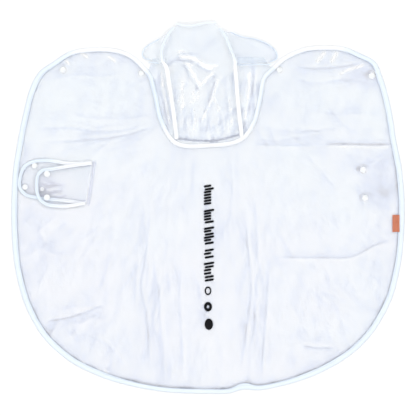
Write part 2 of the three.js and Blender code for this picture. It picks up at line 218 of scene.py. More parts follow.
def facets(x, y, size, seed=0):
    """Crumpled facets: each cell is a tilted flat, and the highest one shows."""
    x = np.asarray(x, float) / size + 11.1 * seed + 100
    y = np.asarray(y, float) / size + 3.9 * seed + 100
    i, j = np.floor(x).astype(int), np.floor(y).astype(int)
    near = np.full(x.shape, 9.0)
    for di in (-1, 0, 1):
        for dj in (-1, 0, 1):
            cell = CELL_SEEDS[(i + di) % 64, (j + dj) % 64]
            gap_x = i + di + cell[..., 0] - x
            gap_y = j + dj + cell[..., 1] - y
            near = np.minimum(near, np.sqrt(gap_x**2 + gap_y**2) + 0.35 * cell[..., 2])
    return near - 0.6


def line_distance(x, y, points):
    """Distance to a polyline, the signed side, and the share of the way along it."""
    points = np.asarray(points, float)[:, :2]
    lengths = np.linalg.norm(np.diff(points, axis=0), axis=1)
    before = np.concatenate([[0], np.cumsum(lengths)])
    best = np.full(x.shape, 1e9)
    side = np.zeros(x.shape)
    share = np.zeros(x.shape)
    for k, length in enumerate(lengths):
        (ax, ay), (bx, by) = points[k], points[k + 1]
        dx, dy = (bx - ax) / length, (by - ay) / length
        t = np.clip((x - ax) * dx + (y - ay) * dy, 0, length)
        gap = np.hypot(x - ax - t * dx, y - ay - t * dy)
        nearer = gap < best
        best = np.where(nearer, gap, best)
        side = np.where(nearer, np.sign(dx * (y - ay) - dy * (x - ax)), side)
        share = np.where(nearer, (before[k] + t) / before[-1], share)
    return best, side, share


def strokes(x, y, table, wide=1.0):
    """The sum of soft strokes along curves, each (points, half width, strength)."""
    return sum(
        strength * bell(line_distance(x, y, catmull(points, per=8))[0], wide * width)
        for points, width, strength in table)


def spots(x, y, table):
    """The sum of soft oval spots, each (x, y, radius x, radius y, strength)."""
    return sum(
        strength * np.exp(-((x - cx) / rx) ** 2 - ((y - cy) / ry) ** 2)
        for cx, cy, rx, ry, strength in table)


# ---------------------------------------------------------------- meshes
def piece(name, verts, faces, material, slot=None, sharp=50):
    mesh = bpy.data.meshes.new(name)
    mesh.from_pydata((np.asarray(verts) * MM).tolist(), [], [list(f) for f in faces])
    mesh.validate()
    mesh.polygons.foreach_set("use_smooth", [True] * len(mesh.polygons))
    mesh.set_sharp_from_angle(angle=math.radians(sharp))
    obj = bpy.data.objects.new(name, mesh)
    bpy.context.scene.collection.objects.link(obj)
    mesh.materials.append(material)
    return obj


def paint(obj, name, values):
    layer = obj.data.attributes.new(name, "FLOAT", "POINT")
    layer.data.foreach_set("value", np.asarray(values, np.float32))


def mark_light(obj, light):
    """Gives the faces on a film's upper side with the most painted light or the most painted shade
    their own looks: a painted sheen, a painted glint or a painted shade.
    """
    mesh = obj.data
    for material in (film_soft, film_shine, film_fold_shade):
        mesh.materials.append(material)
    corner = np.zeros(len(mesh.loops), int)
    mesh.loops.foreach_get("vertex_index", corner)
    start = np.zeros(len(mesh.polygons), int)
    mesh.polygons.foreach_get("loop_start", start)
    total = np.diff(np.append(start, len(corner)))
    mean = np.add.reduceat(light[corner % len(light)], start) / total
    upper = np.maximum.reduceat(corner, start) < len(light)
    look = np.select([mean > GLINT, mean > SHEEN, mean < DEEP_SHADE], [2, 1, 3], 0)
    mesh.polygons.foreach_set("material_index", np.where(upper, look, 0))


def grid_faces(rows, columns, close_columns=False):
    """Quads of a grid whose point (i, j) is number i * columns + j."""
    i, j = np.meshgrid(
        np.arange(rows - 1), np.arange(columns if close_columns else columns - 1),
        indexing="ij")
    after = (j + 1) % columns
    quads = np.stack([i * columns + j, i * columns + after,
                      (i + 1) * columns + after, (i + 1) * columns + j], -1)
    return quads.reshape(-1, 4)


def thicken(verts, faces, thickness=FILM):
    """A closed sheet from an open one whose faces look up."""
    count = len(verts)
    shift = np.array((0, 0, thickness / 2))
    both = np.vstack([verts + shift, verts - shift])
    pairs = np.stack([faces.T, np.roll(faces, -1, 1).T], -1).reshape(-1, 2).tolist()
    known = set(map(tuple, pairs))
    sides = [(b, a, a + count, b + count) for a, b in pairs if (b, a) not in known]
    return both, faces.tolist() + (faces[:, ::-1] + count).tolist() + sides


def sweep(line, profile, spacing, shape):
    """A closed profile of (inward, height) points carried along a line, with flat ends."""
    distance = line.spread(spacing)
    place = line.at(distance)[:, None, :]
    inward = line.left(distance)[:, None, :]
    w, h = (np.tile(column, (len(distance), 1)) for column in np.transpose(profile))
    w, h = shape(distance[:, None], w, h, place[..., 0], place[..., 1])
    verts = place + inward * w[..., None]
    verts[..., 2] += h
    ring = len(profile)
    faces = grid_faces(len(distance), ring, close_columns=True)[:, ::-1].tolist()
    last = (len(distance) - 1) * ring
    faces += [list(range(ring)), list(range(last + ring - 1, last - 1, -1))]
    return verts.reshape(-1, 3), faces


def lathe(profile, place, segments=40):
    """A profile of (radius, height) points turned about a vertical axis at a place."""
    verts, faces, rows = [], [], []
    for radius, height in profile:
        count = segments if radius else 1
        rows.append(range(len(verts), len(verts) + count))
        for k in range(count):
            turn = 2 * math.pi * k / segments
            verts.append((radius * math.cos(turn), radius * math.sin(turn), height))
    if profile[0][0] > 0:
        rows.append(rows[0])
    for a, b in zip(rows, rows[1:]):
        for k in range(segments):
            m = (k + 1) % segments
            corners = [a[k % len(a)], b[k % len(b)], b[m % len(b)], a[m % len(a)]]
            faces.append(list(dict.fromkeys(corners)))
    return np.array(verts) + np.array(place), faces


def joined(parts):
    """Several (verts, faces) as one."""
    faces, count = [], 0
    for part_verts, part_faces in parts:
        faces += [[i + count for i in face] for face in part_faces]
        count += len(part_verts)
    return np.vstack([part_verts for part_verts, _ in parts]), faces


def stitches(line, inset, height, radius=0.42, length=3.0, sides=6):
    """A row of short rounded threads beside a line."""
    distance = np.arange(PITCH, line.length - PITCH / 2, PITCH)
    way, left = line.along(distance), line.left(distance)
    middle = line.at(distance) + left * inset + np.array((0, 0, height))
    rings = [(-0.5, 0.0), (-0.42, 0.7), (-0.15, 1.0), (0.15, 1.0), (0.42, 0.7), (0.5, 0.0)]
    verts = []
    for share, size in rings:
        for turn in range(sides if size else 1):
            angle = 2 * math.pi * turn / sides
            out = left * (math.cos(angle) * radius * size)
            up = np.array((0, 0, math.sin(angle) * radius * size))
            verts.append(middle + way * (share * length) + out + up)
    each = len(verts)
    faces = []
    for turn in range(sides):
        after = (turn + 1) % sides
        faces.append((0, 1 + turn, 1 + after))
        for base in range(1, 1 + 3 * sides, sides):
            faces.append(
                (base + turn, base + sides + turn, base + sides + after, base + after))
        faces.append((1 + 3 * sides + turn, each - 1, 1 + 3 * sides + after))
    rows = [[k * each + i for i in face] for k in range(len(distance)) for face in faces]
    return np.stack(verts, 1).reshape(-1, 3), rows


def inside(x, y, polygon):
    """Which points are inside a closed polygon."""
    hit = np.zeros(x.shape, bool)
    for (ax, ay), (bx, by) in zip(polygon, np.roll(polygon, -1, 0)):
        if ay == by:
            continue
        crosses = (ay > y) != (by > y)
        hit ^= crosses & (x < (bx - ax) * (y - ay) / (by - ay) + ax)
    return hit


def triangles(rings, loose=()):
    """Upward triangles inside the first ring, outside the others, through loose points too."""
    points = np.vstack([*rings, *([loose] if len(loose) else [])])
    edges, start = [], 0
    for ring in rings:
        count = len(ring)
        edges += [(start + k, start + (k + 1) % count) for k in range(count)]
        start += count
    result = delaunay_2d_cdt([tuple(p) for p in points], edges, [], 1, 1e-4, False)
    verts = np.array([(p[0], p[1]) for p in result[0]])
    faces = np.array([f for f in result[2] if len(f) == 3])
    middle = verts[faces].mean(1)
    keep = inside(middle[:, 0], middle[:, 1], rings[0])
    for ring in rings[1:]:
        keep &= ~inside(middle[:, 0], middle[:, 1], ring)
    faces = faces[keep]
    a, b, c = (verts[faces[:, k]] for k in range(3))
    turned = np.cross(b - a, c - a) < 0
    faces[turned] = faces[turned][:, ::-1]
    return verts, faces


def rows_beside(lines, spacing, away):
    """Three rows of points along each line: on it and to both sides."""
    rows = []
    for points in lines:
        line = Line(np.column_stack([points[:, :2], np.zeros(len(points))]))
        distance = line.spread(spacing)
        for out in (-away, 0, away):
            rows.append((line.at(distance) + line.left(distance) * out)[:, :2])
    return np.vstack(rows)


def tree_of(points):
    """A search tree over the x and y of the points."""
    tree = kdtree.KDTree(len(points))
    for k, (x, y) in enumerate(points):
        tree.insert((x, y, 0), k)
    tree.balance()
    return tree


def far_apart(points, gap):
    """The points left when none has an earlier one nearer than the gap."""
    tree = tree_of(points)
    keep = np.ones(len(points), bool)
    for k, (x, y) in enumerate(points):
        if keep[k]:
            for _, other, _ in tree.find_range((x, y, 0), gap):
                if other > k:
                    keep[other] = False
    return points[keep]


def fill(outline, spacing, lines=(), away=1.8, gap=1.55):
    """Triangles over an anticlockwise outline, in even rows along the lines."""
    low, high = outline.min(0), outline.max(0)
    rows = np.arange(low[1], high[1], spacing * 0.866)
    x, y = np.meshgrid(np.arange(low[0] - spacing, high[0] + spacing, spacing), rows)
    x = x + (np.arange(len(rows)) % 2)[:, None] * spacing / 2
    loose = np.stack([x.ravel(), y.ravel()], -1)
    if len(lines):
        loose = far_apart(np.vstack([rows_beside(lines, spacing * 0.8, away), loose]), gap)
    x, y = loose.T
    keep = inside(x, y, outline)
    x, y = x[keep], y[keep]
    tree = tree_of(outline)
    far = np.array([tree.find((a, b, 0))[2] for a, b in zip(x, y)])
    clear = far > spacing * 0.7
    return triangles([outline], np.stack([x[clear], y[clear]], -1))


# ---------------------------------------------------------------- materials
class Nodes:
    """A material's node tree with short ways to add nodes."""

    def __init__(self, name, base, roughness, **sockets):
        self.material = bpy.data.materials.new(name)
        self.material.use_nodes = True
        self.tree = self.material.node_tree
        self.shader = self.fit(
            self.tree.nodes["Principled BSDF"], Base_Color=(*base, 1), Roughness=roughness,
            **sockets)
        self.place = self.add("ShaderNodeTexCoord").outputs["Object"]

    def fit(self, node, **settings):
        """Sets a node's sockets by name, and its other settings."""
        for key, value in settings.items():
            socket = key.replace("_", " ")
            if socket in node.inputs:
                node.inputs[socket].default_value = value
            else:
                setattr(node, key, value)
        return node

    def add(self, kind, **settings):
        return self.fit(self.tree.nodes.new(kind), **settings)

    def link(self, output, target):
        self.tree.links.new(output, target)

    def noise(self, scale, detail):
        node = self.add("ShaderNodeTexNoise", Scale=scale, Detail=detail)
        self.link(self.place, node.inputs["Vector"])
        return node.outputs["Fac"]

    def span(self, value, **ends):
        """A value moved linearly from one range to another."""
        node = self.add("ShaderNodeMapRange", clamp=True, **ends)
        self.link(value, node.inputs["Value"])
        return node.outputs["Result"]

    def ramp(self, value, stops):
        """A colour ramp over a value; stops are (position, colour)."""
        node = self.add("ShaderNodeValToRGB")
        marks = node.color_ramp.elements
        while len(marks) < len(stops):
            marks.new(0.5)
        for mark, (position, colour) in zip(marks, stops):
            mark.position = position
            mark.color = (*colour, 1)
        self.link(value, node.inputs["Fac"])
        return node.outputs["Color"]

    def math(self, operation, a, b):
        node = self.add("ShaderNodeMath", operation=operation)
        for socket, value in zip(node.inputs, (a, b)):
            if isinstance(value, (int, float)):
                socket.default_value = value
            else:
                self.link(value, socket)
        return node.outputs["Value"]

    def multiply(self, a, b):
        node = self.add("ShaderNodeMix", data_type="RGBA", blend_type="MULTIPLY")
        node.inputs[0].default_value = 1
        self.link(a, node.inputs[6])
        self.link(b, node.inputs[7])
        return node.outputs[2]

    def streaks(self):
        """Painted shade and light of thin wrinkles that run away from the neck: dark lines and
        light ones beside them.
        """
        total = None
        for across, along, thin, dark in (
                (26, 7, 0.10, -0.10), (15, 10, 0.06, -0.12), (31, 5, 0.10, 0.10)):
            place = self.add("ShaderNodeCombineXYZ", Z=across)
            self.link(self.math("MULTIPLY", self.attribute("fan"), across), place.inputs["X"])
            self.link(self.math("MULTIPLY", self.attribute("reach"), along), place.inputs["Y"])
            node = self.add("ShaderNodeTexNoise", Scale=1.0, Detail=2.5, Distortion=0.4)
            self.link(place.outputs["Vector"], node.inputs["Vector"])
            off = self.math("ABSOLUTE", self.math("SUBTRACT", node.outputs["Fac"], 0.5), 0)
            line = self.span(off, From_Max=thin, To_Min=dark, To_Max=0.0)
            patches = self.math("SUBTRACT", self.noise(7 + across / 9, 1), 0.36)
            patchy = self.math("MULTIPLY", line, self.math("MULTIPLY", patches, 3.4))
            total = patchy if total is None else self.math("ADD", total, patchy)
        return total

    def attribute(self, name):
        return self.add("ShaderNodeAttribute", attribute_name=name).outputs["Fac"]

    def colour(self, output):
        self.link(output, self.shader.inputs["Base Color"])

    def bump(self, heights, distance):
        """Adds the heights one on the other; each is (value, strength)."""
        below = None
        for value, strength in heights:
            node = self.add("ShaderNodeBump", Strength=strength, Distance=distance)
            self.link(value, node.inputs["Height"])
            if below:
                self.link(below, node.inputs["Normal"])
            below = node.outputs["Normal"]
        self.link(below, self.shader.inputs["Normal"])

    def roughness(self, value, low, high):
        self.link(self.span(value, To_Min=low, To_Max=high), self.shader.inputs["Roughness"])


def film_look(name, alpha, dark, cool, plain, bright, roughness, bump, streaked=False):
    """Clear soft film. The painted_shading attribute carries painted shade and painted light, from
    -1, in shade, to 1, in light.
    """
    nodes = Nodes(
        name, plain, roughness, Alpha=alpha, IOR=1.5, Coat_Weight=1.0,
        Coat_Roughness=0.06, Specular_IOR_Level=0.8)
    shade = nodes.math("ADD", nodes.math("MULTIPLY", nodes.attribute("painted_shading"), 0.5), 0.5)
    cloud = nodes.math("MULTIPLY", nodes.noise(9, 2), 0.10)
    fine = nodes.math("MULTIPLY", nodes.noise(140, 4), 0.06)
    shade = nodes.math("ADD", shade, nodes.math("ADD", cloud, fine))
    shade = nodes.math("SUBTRACT", shade, 0.08)
    if streaked:
        shade = nodes.math("ADD", shade, nodes.streaks())
    # The ramp turns the painted shading into colour: dark and cool for painted shade, white for
    # painted highlights.
    tone = nodes.ramp(shade, [(0.0, dark), (0.27, cool), (0.5, plain), (1.0, bright)])
    if streaked:
        tint = nodes.ramp(
            nodes.attribute("tint"), [(0.0, (0.965, 1.0, 1.0)), (1.0, (1.0, 0.96, 0.995))])
        tone = nodes.multiply(tone, tint)
    nodes.colour(tone)
    nodes.bump([(nodes.noise(60, 3), bump), (nodes.noise(420, 3), bump * 0.4)], 0.0012)
    return nodes.material


def tape_look(name, bright, cool, edge, rough=0.5):
    """Woven tape: fine ribs across it, satin, a little uneven. Its shade attribute runs 0 bright,
    1 cool, 2 the darker painted shade at an edge.
    """
    nodes = Nodes(name, bright, rough, Sheen_Weight=0.15, Specular_IOR_Level=0.35)
    half = nodes.math("MULTIPLY", nodes.attribute("shade"), 0.5)
    tone = nodes.ramp(half, [(0.0, bright), (0.5, cool), (1.0, edge)])
    mottle = nodes.ramp(
        nodes.noise(55, 4), [(0.3, (0.955, 0.965, 0.98)), (0.7, (1, 1, 1))])
    nodes.colour(nodes.multiply(tone, mottle))
    weave = nodes.add("ShaderNodeTexWave", Scale=520, Distortion=2.0)
    nodes.link(nodes.place, weave.inputs["Vector"])
    nodes.bump([(weave.outputs["Fac"], 0.12), (nodes.noise(900, 2), 0.10),
                (nodes.noise(90, 3), 0.25)], 0.0006)
    nodes.roughness(nodes.noise(200, 2), rough - 0.08, rough + 0.08)
    return nodes.material


def plain_look(name, low, high, roughness, scale=120, bump=0.08, **sockets):
    """One material mottled between two colours, with fine bumps."""
    nodes = Nodes(name, high, roughness, **sockets)
    nodes.colour(nodes.ramp(nodes.noise(scale, 4), [(0.35, low), (0.65, high)]))
    nodes.bump([(nodes.noise(scale * 6, 3), bump)], 0.0005)
    nodes.roughness(nodes.noise(scale * 2, 2), roughness - 0.06, roughness + 0.06)
    return nodes.material


def label_look():
    """Satin label cloth with a fine weave and no mark on it."""
    nodes = Nodes("label_cloth", (0.76, 0.27, 0.15), 0.75, Sheen_Weight=0.3)
    weave = nodes.add(
        "ShaderNodeTexBrick", Scale=1.0, Brick_Width=0.0012, Row_Height=0.0006,
        Mortar_Size=0.00009, Color1=(0.80, 0.31, 0.19, 1), Color2=(0.72, 0.23, 0.125, 1),
        Mortar=(0.42, 0.10, 0.04, 1))
    nodes.link(nodes.place, weave.inputs["Vector"])
    tone = nodes.ramp(nodes.noise(160, 3), [(0.3, (0.86, 0.86, 0.86)), (0.7, (1, 1, 1))])
    nodes.colour(nodes.multiply(weave.outputs["Color"], tone))
    nodes.bump([(weave.outputs["Fac"], 0.3), (nodes.noise(1500, 2), 0.2)], 0.0003)
    return nodes.material


def light_look(name, alpha, low, high, roughness):
    """A look for a painted highlight or a painted shade on a crease in the film: whiter or darker
    than the rest. The sewn strip beside the tabs uses it too, in its own colour.
    """
    nodes = Nodes(
        name, high, roughness, Alpha=alpha, IOR=1.5, Coat_Weight=1.0, Coat_Roughness=0.04)
    nodes.colour(nodes.ramp(nodes.noise(240, 3), [(0.3, low), (0.7, high)]))
    nodes.bump([(nodes.noise(300, 3), 0.15)], 0.0008)
    return nodes.material


# Each film's colours: plain for the film itself, dark and cool for painted shade, white for
# painted highlights.
cape_film = film_look(
    "clear_film", 0.12, (0.03, 0.05, 0.18), (0.38, 0.52, 0.82), (0.72, 0.805, 0.915), (1, 1, 1),
    0.2, 0.10, streaked=True)
hood_film = film_look(
    "hood_film", 0.15, (0.02, 0.06, 0.24), (0.40, 0.54, 0.82), (0.74, 0.845, 0.955), (1, 1, 1),
    0.12, 0.2)
tab_film = film_look(
    "tab_film", 0.05, (0.02, 0.04, 0.2), (0.45, 0.52, 0.88), (0.8, 0.88, 1.0), (1, 1, 1),
    0.2, 0.12)
seam_film = light_look("seam_film", 0.10, (0.60, 0.62, 0.88), (0.7, 0.72, 0.94), 0.3)
# Painted light: a painted sheen, a painted glint and a painted shade, which mark_light gives to
# faces of the film.
film_soft = light_look("film_sheen", 0.34, (0.9, 0.94, 0.98), (1, 1, 1), 0.1)
film_shine = light_look("film_glint", 0.7, (0.96, 0.97, 0.99), (1, 1, 1), 0.06)
film_fold_shade = light_look("film_fold_shade", 0.34, (0.16, 0.2, 0.34), (0.24, 0.3, 0.46), 0.3)
# The tapes' colours: bright where painted lit, cool where painted in shade, and darker for painted
# shade at their edges.
tape_cloth = tape_look(
    "binding_tape", (0.93, 0.935, 0.95), (0.815, 0.89, 0.955), (0.50, 0.57, 0.72))
piping_cloth = tape_look(
    "piping_tape", (0.97, 0.97, 0.975), (0.76, 0.85, 0.945), (0.50, 0.57, 0.72), 0.4)
snap_plastic = plain_look(
    "snap_plastic", (0.86, 0.87, 0.88), (0.95, 0.955, 0.96), 0.28, 300, 0.04,
    Coat_Weight=0.4, Subsurface_Weight=0.05)
# The stitch thread's grey-blue is darker than the tape, so its rows also add painted shade along
# the tapes' sewn edges.
thread_and_shade = plain_look("stitch_thread_and_shade", (0.42, 0.48, 0.6), (0.55, 0.62, 0.74), 0.6, 900, 0.3)
ink = plain_look(
    "print_ink", (0.003, 0.003, 0.004), (0.009, 0.009, 0.011), 0.6, 260, 0.1,
    Specular_IOR_Level=0.12)
label_cloth = label_look()


# ---------------------------------------------------------------- the cape's edge
edge_parts = [
    LEFT_FRONT_EDGE, HEM_EDGE, RIGHT_FRONT_EDGE, RIGHT_SHOULDER_EDGE, NECK_EDGE,
    LEFT_SHOULDER_EDGE,
]
PER_KNOT = 24
whole_edge = catmull([p for part in edge_parts for p in part], closed=True, per=PER_KNOT)
marks = np.cumsum([0] + [len(part) * PER_KNOT for part in edge_parts])
left_front, hem, right_front, right_shoulder, neck, left_shoulder = [
    Line(whole_edge[a:b + 1]) for a, b in zip(marks, marks[1:])]
hem_middle = hem.passed[np.argmin(np.abs(hem.points[:, 0]))]
left_edge = Line(np.vstack([
    left_shoulder.points, left_front.points[1:], hem.cut(0, hem_middle).points[1:]]))
right_edge = Line(np.vstack([
    hem.cut(hem_middle, hem.length).points, right_front.points[1:],
    right_shoulder.points[1:]]))


# ---------------------------------------------------------------- the film's surface
# Long soft folds: (points, height, width, shade). Shade below 0 is a painted dark line, with
# painted shade on one side of the fold and a painted light line on the other.
FOLDS = [
    ([(452, 152), (400, 149), (330, 151), (268, 150)], 1.1, 3.0, -0.75),
    ([(268, 150), (190, 148), (100, 152)], 0.5, 5.0, -0.28),
    ([(454, -74), (400, -92), (348, -118), (270, -121), (150, -120)], 0.6, 4.0, -0.5),
    ([(-139, 18), (-143, -60), (-152, -140), (-160, -190), (-146, -260), (-139, -410)],
     0.9, 5.0, -0.32),
    ([(-115, -140), (-116, -250), (-108, -330), (-106, -435)], 0.8, 4.5, -0.29),
    ([(-60, -90), (-68, -200), (-62, -330), (-58, -430)], 0.6, 6.0, -0.24),
    ([(88, 0), (96, -90), (104, -200), (92, -300), (78, -405)], 1.0, 4.5, -0.37),
    ([(146, -130), (140, -250), (134, -330), (128, -430)], 0.9, 4.5, -0.34),
    ([(112, 30), (118, -80), (120, -150)], 0.5, 5.0, -0.24),
    ([(-392, -272), (-330, -262), (-246, -232)], 0.9, 4.5, -0.5),
    ([(222, -330), (262, -336), (306, -336)], 0.7, 4.0, -0.4),
    ([(-436, 186), (-340, 192), (-250, 182), (-150, 196)], 0.7, 5.0, -0.3),
    ([(-408, 156), (-300, 162), (-180, 178), (-112, 205)], 0.6, 5.0, -0.28),
    ([(-116, 232), (-170, 216), (-260, 214), (-340, 226)], 0.7, 6.0, -0.26),
    ([(-112, 206), (-150, 170), (-220, 140), (-262, 128)], 0.6, 5.0, -0.2),
    ([(112, 205), (170, 186), (250, 184), (330, 196)], 0.6, 5.0, -0.24),
    ([(108, 170), (150, 160), (220, 168), (300, 176)], 0.5, 5.0, -0.2),
    ([(336, 130), (352, 112), (366, 98)], 0.9, 4.0, -0.14),
    ([(452, 148), (408, 120), (382, 98)], 0.9, 5.0, -0.18),
    ([(386, 84), (424, 74), (452, 62)], 0.8, 4.0, -0.16),
    ([(390, 20), (420, 8), (450, -8)], 0.8, 4.0, -0.16),
    ([(340, 74), (356, 60), (368, 36)], 0.7, 4.0, -0.14),
    ([(-420, -120), (-370, -60), (-330, -28)], 0.6, 6.0, -0.22),
    ([(-396, -20), (-404, -60), (-380, -100)], 0.6, 5.0, -0.22),
    ([(-300, -300), (-240, -330), (-190, -392)], 0.6, 6.0, -0.22),
    ([(-460, 84), (-440, 130), (-446, 170)], 0.7, 4.0, -0.3),
    ([(200, 340), (260, 334), (330, 340), (390, 350)], 0.9, 5.0, -0.35),
    ([(190, 326), (240, 300), (330, 306), (424, 290)], 0.7, 6.0, -0.24),
    ([(-180, 330), (-250, 316), (-320, 318), (-410, 300)], 0.6, 6.0, -0.2),
    ([(430, 214), (380, 226), (300, 222), (230, 236)], 0.6, 6.0, -0.2),
    ([(20, -380), (28, -412), (18, -440)], 0.7, 5.0, -0.3),
    ([(-20, -330), (-14, -390), (-24, -438)], 0.5, 6.0, -0.2),
    ([(-30, 140), (-36, 60), (-28, -20)], 0.5, 8.0, -0.14),
    ([(50, 140), (58, 60), (48, -60)], 0.5, 8.0, -0.14),
    ([(-240, 20), (-232, -60), (-246, -150)], 0.5, 8.0, -0.12),
    ([(250, 60), (262, -20), (250, -90)], 0.5, 8.0, -0.12),
]
# Soft patches of painted shade or painted light: (x, y, radius x, radius y, shade).
PATCHES = [
    (410, 104, 44, 30, -0.34), (420, 34, 36, 30, -0.55), (386, 62, 26, 18, -0.3),
    (360, 92, 7, 8, -0.9), (300, 350, 110, 26, -0.22), (384, 310, 40, 22, -0.45),
    (376, 24, 14, 12, -0.4),
    (-270, 352, 110, 24, -0.20), (-430, -60, 34, 90, -0.08), (420, -180, 40, 90, -0.08),
    (-170, 262, 60, 60, -0.10), (160, 262, 60, 60, -0.10), (-240, -330, 120, 60, -0.08),
    (0, -300, 60, 160, 0.05), (-260, -120, 120, 120, 0.04), (220, 60, 120, 60, 0.05),
    (-350, 57, 70, 46, 0.3), (-400, 57, 60, 46, 0.12),
]
# Where the film looks more lavender (above 0) or more cyan: (x, y, radius x, radius y, tint).
TINTS = [
    (-370, 250, 160, 110, -0.5), (300, 250, 160, 100, -0.3), (-360, 50, 110, 60, 0.5),
    (410, 70, 60, 60, 0.6), (380, 320, 60, 30, 0.5), (400, -250, 90, 120, -0.4),
    (-390, -120, 90, 110, 0.4), (330, -60, 120, 120, -0.3),
]
# Painted highlights of short shining creases near the edge: (half width, points).
GLINTS = [
    (4.4, [(263, 352), (271, 361), (278, 370)]), (4.4, [(297, 351), (302, 359), (307, 369)]),
    (3, [(318, 321), (334, 329), (352, 335), (372, 342)]),
    (3, [(-302, 370), (-296, 365), (-290, 360)]), (3, [(398, 327), (403, 321), (408, 315)]),
    (3, [(-238, 362), (-230, 357), (-224, 352)]), (3, [(-340, 352), (-337, 349), (-334, 345)]),
    (3, [(-301, -371), (-296, -377), (-290, -384)]),
    (3, [(-247, -392), (-242, -398), (-237, -404)]), (3, [(-262, -388), (-256, -396)]),
]
main_folds = [catmull(points, per=8) for points, _, _, dark in FOLDS if dark < -0.27]

# Faint short wrinkles that fan out from the neck and run down the sides, low and drawn with
# painted shade:
# (count, x range, y range, spread of the direction or None, darkest painted shade).
scatter = np.random.default_rng(33)
for count, (x_from, x_to), (y_from, y_to), turn, strong in (
        (46, (-430, 430), (-400, 320), None, 0.24), (15, (-152, -78), (-410, 30), 0.12, 0.22),
        (15, (76, 142), (-410, 40), 0.12, 0.22), (12, (-420, -250), (-330, -40), 0.35, 0.26),
        (10, (250, 440), (-330, -140), 0.35, 0.22)):
    for _ in range(count):
        x, y = scatter.uniform(x_from, x_to), scatter.uniform(y_from, y_to)
        toward = math.atan2(y - 330, x) + scatter.normal(0, 0.35)
        if turn is not None:
            toward = -math.pi / 2 + scatter.normal(0, turn)
            if abs(x) > 200:
                toward = math.atan2(y - 60, x) + scatter.normal(0, turn)
        long = scatter.uniform(16, 62)
        bend = scatter.normal(0, 5)
        dx, dy = math.cos(toward) * long, math.sin(toward) * long
        FOLDS.append((
            [(x - dx, y - dy), (x + bend, y + bend), (x + dx, y + dy)],
            scatter.uniform(0.2, 0.5), scatter.uniform(3, 5),
            -scatter.uniform(0.08, strong)))
all_snaps = [*CAPE_SNAPS.values(), *LEFT_SNAPS.values(), *RIGHT_SNAPS.values()]
# Under the tabs and the label the film lies flat: (x, y, half width, half length, margin).
calm_boxes = [(-372, 57, 108, 74, 20), (LABEL[0], LABEL[1], 14, 30, 6)]


def calm(x, y):
    """1 where the film may lie in waves, 0 where something is fixed to it."""
    share = np.ones(np.shape(x))
    for sx, sy in all_snaps:
        share = share * smoothstep(10, 26, np.hypot(x - sx, y - sy))
    for cx, cy, half_x, half_y, soft in calm_boxes:
        out = np.hypot(np.maximum(np.abs(x - cx) - half_x, 0),
                       np.maximum(np.abs(y - cy) - half_y, 0))
        share = share * smoothstep(0, soft, out)
    return share


def crumple(x, y, size, seed):
    """Fine crumple, and painted light and shade from its slopes."""
    step = size * 0.06
    middle = facets(x, y, size, seed)
    slope = facets(x + step, y - step, size, seed) - middle
    return middle, np.clip(slope * 9, -1, 1)


def film_surface(x, y, rim):
    """Height, and painted light and shade, of the cape's film; rim is the distance from its edge.
    """
    soft_x = np.sign(x) * (np.sqrt(x * x + 30.0**2) - 30)
    free = calm(x, y) * smoothstep(12, 46, rim)
    wave = 0.75 * noise(soft_x, y, 95, 1) + 0.35 * noise(soft_x, y * 0.8, 42, 2)
    wave = wave + 0.14 * noise(soft_x * 1.4, y * 0.6, 17, 3)
    shade = 0.11 * noise(soft_x, y, 60, 4) + 0.12 * noise(soft_x * 1.5, y * 0.5, 22, 5)
    shade = shade + 0.10 * noise(soft_x * 1.2 + 0.5 * y, y - 0.5 * soft_x, 13, 7)
    fine, fine_light = crumple(soft_x * 1.3, y * 0.6, 34, 8)
    # Painted light and shade from the crumple's slopes.
    shade = shade + 0.10 * fine_light
    wave = wave + 0.25 * fine
    for points, height, width, dark in FOLDS:
        gap, side, share = line_distance(x, y, catmull(points, per=8))
        ends = smoothstep(0, 0.2, share) * smoothstep(0, 0.2, 1 - share)
        uneven = 0.75 + 0.35 * noise(x, y, 26, 6)
        wave = wave + height * bell(gap, width) * ends * uneven
        # Painted shade on one side of each fold, a painted light line on the other, and a wider
        # painted shade beside it.
        line = bell(side * gap, 2.7, -1.0) - 0.7 * bell(side * gap, 3.2, 4.6)
        shade = shade + 2.0 * dark * line * ends * uneven
        shade = shade + 0.4 * dark * bell(side * gap, 2.6 * width, -7) * ends
    shade = shade + spots(x, y, PATCHES)
    # Painted highlights along the shining creases.
    for half, points in GLINTS:
        shade = shade + 1.9 * bell(line_distance(x, y, points)[0], half)
    # Painted light: a pale ring round each stud, and painted shade on a wider ring at its upper
    # left.
    for sx, sy in all_snaps:
        ring = np.hypot(x - sx, y - sy)
        upper = np.clip(0.5 + 0.5 * (y - sy - x + sx) / np.maximum(ring, 1), 0, 1)
        shade = shade + 0.9 * bell(ring, 1.2, 8.9) - 0.8 * upper * bell(ring, 2.4, 11.6)
    return np.maximum(FILM_Z + wave * free, LOWEST), shade


def hem_rise(x, y):
    """1 where the hem's tape is drawn wide at its kink."""
    return bell(x, 20, 88) * smoothstep(-370, -390, y)


def rim_shade(rim, x, y):
    """Painted shade: the dark line where the film goes into its binding, strongest low and at the
    sides.
    """
    low = smoothstep(60, -280, y) * 1.2 + 0.38
    rim = rim - 4.0 * hem_rise(x, y)
    near = 1.15 * bell(rim, 2.3, TAPE_EDGE) + 0.22 * bell(rim, 8, 18)
    wide_right_shade = smoothstep(360, 400, x) * smoothstep(-90, -30, y) * smoothstep(160, 130, y)
    near = near + 1.5 * wide_right_shade * bell(rim, 3.6, 16.5)
    near = near * (0.85 + 0.5 * noise(x, y, 42, 19))
    return -low * near * (0.8 + 0.3 * noise(x, y, 30, 9))


def blend_at_shoulder(obj):
    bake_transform(obj)


